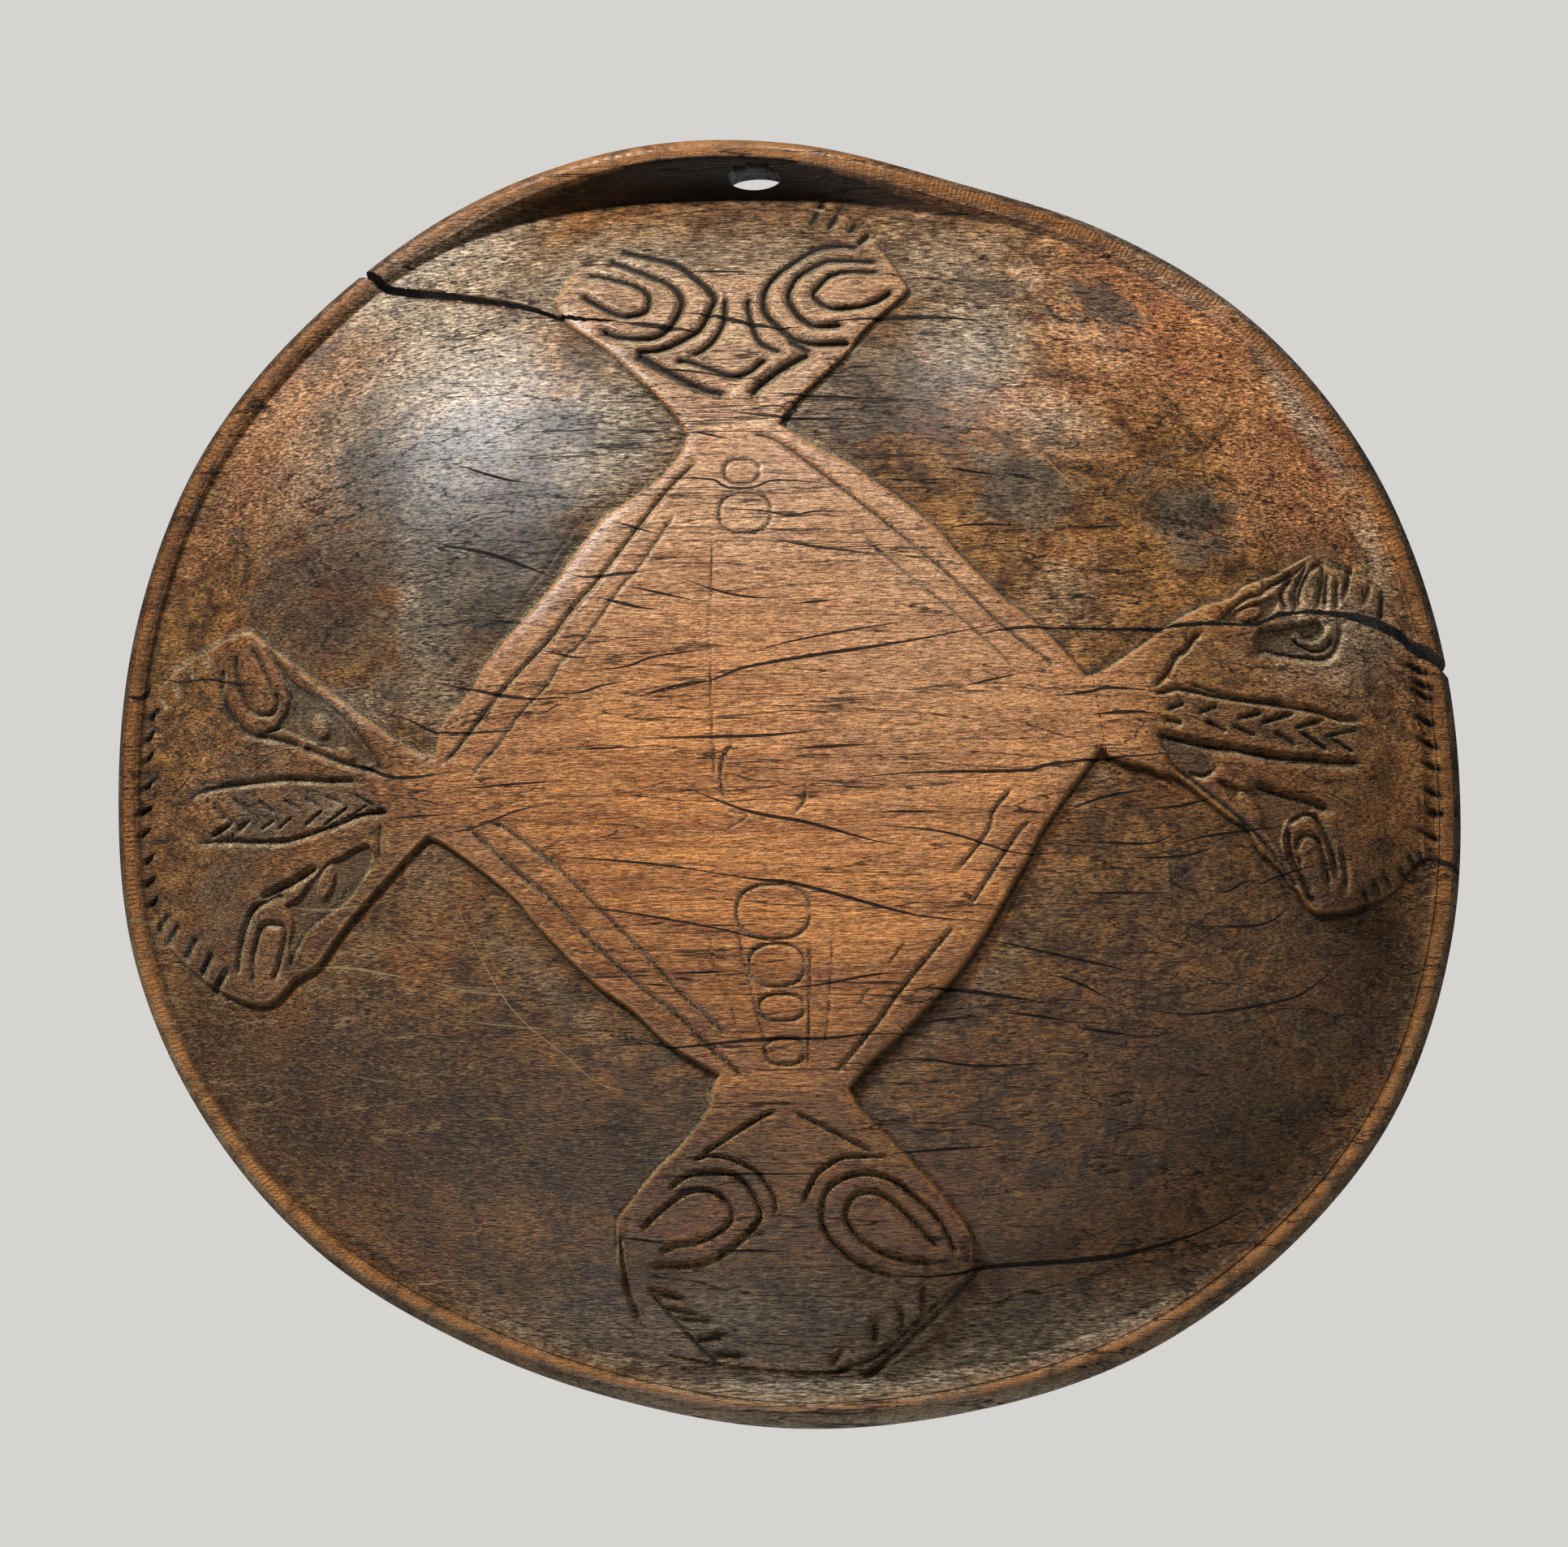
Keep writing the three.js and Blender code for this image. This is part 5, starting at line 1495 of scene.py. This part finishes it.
# grey where dusty; on the upper left shoulder and the bottom lip this pale is a painted highlight
grey = (pale + 0.7 * (blotch - 0.5) + 0.4 * (streaks - 0.5)).ramp(0.15, 0.75)
belly_wood = wood.mix(grey * 0.7, belly_wood, wood.tones(hatch, 0.35, 0.7, (100, 88, 71), (168, 152, 127)))
soot = (dark + 1.4 * (blotch - 0.5) + 1.3 * (stain - 0.5) + 0.5 * (hatch - 0.5)).ramp(0.3, 0.62)
soot = soot * (1 - 0.8 * deep)
belly_wood = wood.mix(soot * 0.85, belly_wood, wood.tones(blotch, 0.35, 0.65, (38, 33, 27), (78, 67, 53)))
stained = 1.08 - 0.35 * stain.ramp(0.48, 0.6) + 0.25 * (1 - stain.ramp(0.36, 0.46))
belly_wood = wood.shade(belly_wood, stained)
# lighter towards the upper right, rubbed wood and painted light, and towards the upper left, painted light
to_right, to_left = side.ramp(20.0, 120.0), 1 - side.ramp(-60.0, 20.0)
belly_wood = wood.shade(belly_wood, 1 + 0.75 * to_right * height.ramp(-287.0, -167.0))
belly_wood = wood.shade(belly_wood, 1 + 0.4 * height.ramp(-130.0, -70.0) * to_left)
print("nodes so far:", len(wood.tree.nodes))

# %% [markdown]
# ## Colour of the relief
# The lozenge and the heads stand out, so hands and cloth have kept them clean: a warm
# orange-brown that is yellower low down and pinker towards the top, with streaks of the
# grain. Two woods blended by height give that change, and the same zones as on the belly
# make it dark, pale or warm in places.

# %% Relief
low_wood = wood.tones(figure, 0.3, 0.7, (144, 82, 36), (212, 138, 70))
high_wood = wood.tones(figure, 0.3, 0.7, (156, 104, 68), (206, 156, 112))
face_wood = wood.mix(height.ramp(-270.0, -110.0), low_wood, high_wood)
dull = (dark + 0.8 * (cloud - 0.5) + 0.5 * (figure - 0.5)).ramp(0.15, 0.6)
face_wood = wood.mix(dull * 0.45, face_wood, colour(92, 58, 34))
face_wood = wood.mix(streaks.ramp(0.52, 0.7) * 0.25, face_wood, colour(206, 164, 120))
face_wood = wood.mix((1 - streaks.ramp(0.3, 0.46)) * 0.4, face_wood, colour(104, 62, 32))
face_wood = wood.mix((cloud - 0.5).size().ramp(0.05, 0.2) * 0.35, face_wood, colour(142, 92, 58))
face_wood = wood.mix(pale * 0.5, face_wood, wood.tones(streaks, 0.35, 0.65, (168, 132, 100), (220, 184, 150)))
face_wood = wood.mix(warm * 0.5, face_wood, wood.tones(figure, 0.3, 0.7, (154, 92, 40), (212, 142, 74)))
face_wood = wood.shade(face_wood, 0.64 + 0.48 * side.ramp(-130.0, 10.0))
off_tip = height.ramp(-330.0, -262.0).at_least(1 - height.ramp(-395.0, -365.0))
face_wood = wood.shade(face_wood, 0.64 + 0.36 * off_tip)
print("nodes so far:", len(wood.tree.nodes))

# %% [markdown]
# ## Pores, worn edges, dirt and painted light and shade
# Close up, the wood is flecked: open pores are dark, fibres between them are pale, and some of
# the pale dashes are painted glints. Edges that stand out are worn pale. Soot and dust fill the
# grooves, the sunk grounds and the feet of the relief, and a painted shade darkens them too,
# while faces turned towards the key light are painted pale with dust and painted light. Each is
# a mask over the two woods: the flecks from noise, the rest from the values at the vertices,
# so that dirt and painted shade lie exactly in the carved places.

# %% Flecks, wear, dirt and painted light and shade
base = wood.mix(relief.ramp(0.05, 0.95), belly_wood, face_wood)
fleck = 0.6 * hatch.ramp(0.41, 0.59) + 0.45 * speck.ramp(0.41, 0.59) + 0.45 * dashes.ramp(0.4, 0.58)
fleck = fleck + 0.5 * hatch.ramp(0.58, 0.7) + 0.3 * knobs.ramp(0.58, 0.7)
fleck = 0.8 + (fleck - 0.8) * (1.45 - 0.45 * relief)
base = wood.shade(base, (0.26 + 0.98 * fleck).at_least(0.08))
# pale dashes along the grain: pale fibres, and in part painted glints
base = wood.mix(dashes.ramp(0.56, 0.66) * (0.12 + 0.33 * relief), base, colour(232, 190, 140))
grit = knobs.ramp(0.56, 0.66) * 0.4 * (1 - relief) * (1 - height.ramp(-290.0, -200.0))
base = wood.mix(grit, base, colour(150, 122, 84))
crest_wood = wood.tones(pits, 0.4, 0.6, (100, 62, 26), (172, 108, 50))
base = wood.mix(crest * blotch.ramp(0.2, 0.6) * 0.8, base, crest_wood)
base = wood.mix(wear * blotch.ramp(0.3, 0.6) * 0.6, base, colour(200, 138, 76))
base = wood.mix(inner * 0.85, base, wood.tones(streaks, 0.35, 0.65, (58, 42, 30), (92, 68, 48)))

dust = (pits + 0.7 * (blotch - 0.5)).ramp(0.48, 0.6)
dirt_and_shade = wood.tones(speck, 0.35, 0.65, (40, 32, 20), (96, 82, 58))
# sunk grounds and the relief's feet: dirt and painted shade
base = wood.mix((sunk * 0.72).at_least(foot * 0.55), base, dirt_and_shade)
dusty = 1 - height.ramp(-175.0, -105.0)
dustiest = 1 - height.ramp(-370.0, -320.0)
in_cut = dusty * dust * (0.3 + relief * (0.4 + 0.6 * dustiest))
soot_shade_or_dust = wood.mix(in_cut, colour(17, 12, 8), colour(176, 158, 122))
# grooves, creases and the walls of the splits: soot and painted shade, pale with dust low down
base = wood.mix(cut * (0.5 + 1.0 * hatch).at_most(1) * 0.96, base, soot_shade_or_dust)
pale_dust_and_light = wood.tones(speck, 0.35, 0.65, (150, 128, 92), (206, 186, 150))
# faces turned to the key light and the rim's lower outside: pale dust and painted light
base = wood.mix(lit_face_and_dust * (0.15 + 0.75 * dust), base, pale_dust_and_light)
print("nodes so far:", len(wood.tree.nodes))

# %% [markdown]
# ## Drying checks and scratches
# Wood that dries splits along its grain, in a few long checks and many hairlines. The long
# ones were drawn as strokes, and the distance to the nearest one is stored at the vertices.
# The hairlines are where a very long noise crosses its middle value, which gives thin wavy
# lines without drawing them. Scratches are pale, because they cut through the patina.

# %% Checks and scratches
gate = gate_field + 0.1 * relief
hair = (1 - (hair_field - 0.5).size().ramp(0.0025, 0.0075)) * gate.ramp(0.3, 0.45)
drawn_width = wood.value("check_w") * (1.9 - 0.35 * relief)
fray = 0.6 + 0.9 * streaks
distance = wood.value("check_d").size()
drawn = (1 - distance.ramp(drawn_width * fray * 0.6, drawn_width * fray + 0.02)) * drawn_width.ramp(0.02, 0.1)
check = drawn.at_least(hair * 0.85)
filled = (1 - side.ramp(-110.0, -30.0)) * (1 - height.ramp(-290.0, -240.0))
base = wood.mix(check * 0.95, base, wood.mix(filled * 0.85, colour(12, 8, 6), colour(170, 140, 98)))
scratch_w = wood.value("scratch_w")
scratch = (1 - wood.value("scratch_d").size().ramp(0.08, scratch_w + 0.1)) * scratch_w.ramp(0.02, 0.1)
base = wood.mix(scratch * 0.7, base, colour(196, 156, 112))
print("nodes so far:", len(wood.tree.nodes))

# %% [markdown]
# ## Gloss and fine relief
# Handling has left a worn shine, strongest on the shoulders and along the rim. A clear coat
# stands for the rubbed-in grease, thin all over and full in the polished zones. Pores,
# fibres and checks also roughen the surface by a fraction of a millimetre. That is too fine
# for the mesh, so the same patterns drive a bump, with a sine round the rim for its teeth.

# %% Gloss and bump
gloss = 0.46 + 0.35 * (blotch - 0.5) + 0.3 * (speck - 0.5) - 0.08 * soot - 0.14 * polish - 0.04 * relief
gloss = gloss + 0.3 * cut.at_least(foot).at_least(sunk) + 0.5 * check + 0.12 * inner
worn = (hatch + speck - 0.3).ramp(0.35, 0.9)
varnish = (0.06 + 0.2 * relief + 1.0 * polish) * worn * (1 - cut.at_least(check).at_least(lit_face_and_dust))
grain = 0.6 * streaks + 1.0 * dashes + 0.5 * speck + 0.4 * pits + 1.2 * hatch + 0.6 * knobs
around_rim = wood.node("Math", {"operation": "ARCTAN2"}, {0: height + float(hole_z), 1: side + float(hole_x)})
serration = (around_rim * 860.0 + 9.0 * blotch).sine()
rough = 1.05 - 0.1 * relief - 0.2 * soot - 0.1 * polish
bumps = grain * rough - 0.9 * check - 0.25 * scratch
bumps = bumps + 0.3 * serration * wood.value("teeth") * blotch.ramp(0.38, 0.6)
normal = wood.node("Bump", None, {"Strength": 1.0, "Distance": 0.0013, "Height": bumps})
shader = wood.node("BsdfPrincipled", None, {
    "Base Color": base, "Roughness": gloss.at_least(0.2).at_most(0.95), "Normal": normal,
    "Specular IOR Level": 0.29, "Coat Weight": varnish, "Coat Roughness": 0.38, "Coat IOR": 1.5,
})
wood.node("OutputMaterial", None, {"Surface": shader})
print("nodes:", len(wood.tree.nodes))

# %% Hand the pieces over
for piece in pieces.values():
    piece.data.materials.clear()
    piece.data.materials.append(wood.owner)
    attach(piece, "root")
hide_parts("platter")
print("pieces:", list(pieces))

# %% [markdown]
# ## Studio
# The platter hangs free in front of a pale backdrop, over a pale floor that lies below the
# picture. A bright light above on the left and a weaker one above on the right give the two
# glossy patches on the belly's shoulders. A wide weak one beside the camera opens the
# shadows, and one low behind the dish shows its hollow side. A dark room would be closer to
# the photograph, but a pale one shows the edge of the wood better.

# %% Floor and backdrop
FLOOR_HALF, FLOOR_Z = 4, -1.3
corners = [(x * FLOOR_HALF, y * FLOOR_HALF, FLOOR_Z) for x, y in ((-1, -1), (1, -1), (1, 1), (-1, 1))]
floor_mesh = bpy.data.meshes.new("floor")
floor_mesh.from_pydata(corners, [], [(0, 1, 2, 3)])
floor = bpy.data.objects.new("floor", floor_mesh)
bpy.context.scene.collection.objects.link(floor)
paint = Nodes(bpy.data.materials.new("pale_floor"))
matt = paint.node("BsdfPrincipled", None, {"Base Color": colour(205, 203, 200), "Roughness": 0.9})
paint.node("OutputMaterial", None, {"Surface": matt})
floor_mesh.materials.append(paint.owner)

bpy.context.scene.world = bpy.data.worlds.new("studio")
sky = Nodes(bpy.context.scene.world)
seen_by_camera = sky.node("LightPath", output="Is Camera Ray")
ambient = sky.node("Background", None, {"Color": (0.08, 0.08, 0.08, 1)})
backdrop = sky.node("Background", None, {"Color": colour(214, 212, 209)})
blend = sky.node("MixShader", None, {0: seen_by_camera, 1: ambient, 2: backdrop})
sky.node("OutputWorld", None, {"Surface": blend})
print("world nodes:", len(sky.tree.nodes))


# %% Lights
def area_light(name, at, aim, width, tall, power):
    """A rectangular soft light at a point, facing another."""
    light = bpy.data.lights.new(name, "AREA")
    light.shape, light.size, light.size_y, light.energy = "RECTANGLE", width, tall, power
    made = bpy.data.objects.new(name, light)
    made.location = at
    made.rotation_euler = (Vector(aim) - Vector(at)).to_track_quat("-Z", "Y").to_euler()
    bpy.context.scene.collection.objects.link(made)
    return made


MIDDLE = (0.0126, 0.0, -0.2272)
# place in metres, width and height in metres, and power in watts
LIGHTS = {
    "key": ((-0.86, -0.94, 0.92), 0.24, 0.2, 40),
    "second": ((0.27, -1.03, 1.13), 0.25, 0.2, 12),
    "fill": ((1.2, -2.8, 0.1), 1.5, 1.5, 6),
    "back": ((0.3, 2.6, -0.85), 1.5, 1.5, 40),
}
for name, (at, width, tall, power) in LIGHTS.items():
    area_light(name, at, MIDDLE, width, tall, power)

# %% [markdown]
# ## Camera
# The photograph looks at the dish from a little below its middle and a little to the right.
# A long lens from about two metres gives the same flat perspective, so the camera looks back
# along that line at a point near the middle.

# %% Camera: metres to the point aimed at, degrees below and aside, lens and sensor in mm
DISTANCE, BELOW, ASIDE, LENS, SENSOR = 2.2, 7.5, 5.0, 136.63, 36.0
AIM = Vector((0.010548, -0.000651, -0.223632))
below, aside = np.radians(BELOW), np.radians(ASIDE)
forward = Vector((-np.sin(aside) * np.cos(below), np.cos(aside) * np.cos(below), np.sin(below)))
camera_data = bpy.data.cameras.new("photo_view")
camera_data.lens, camera_data.sensor_width = LENS, SENSOR
camera_data.clip_end = 20
camera = bpy.data.objects.new("photo_view", camera_data)
camera.location = AIM - DISTANCE * forward
camera.rotation_euler = forward.to_track_quat("-Z", "Y").to_euler()
bpy.context.scene.collection.objects.link(camera)
bpy.context.scene.camera = camera
bpy.context.scene.view_settings.view_transform = "Standard"
print("camera at", tuple(camera.location))
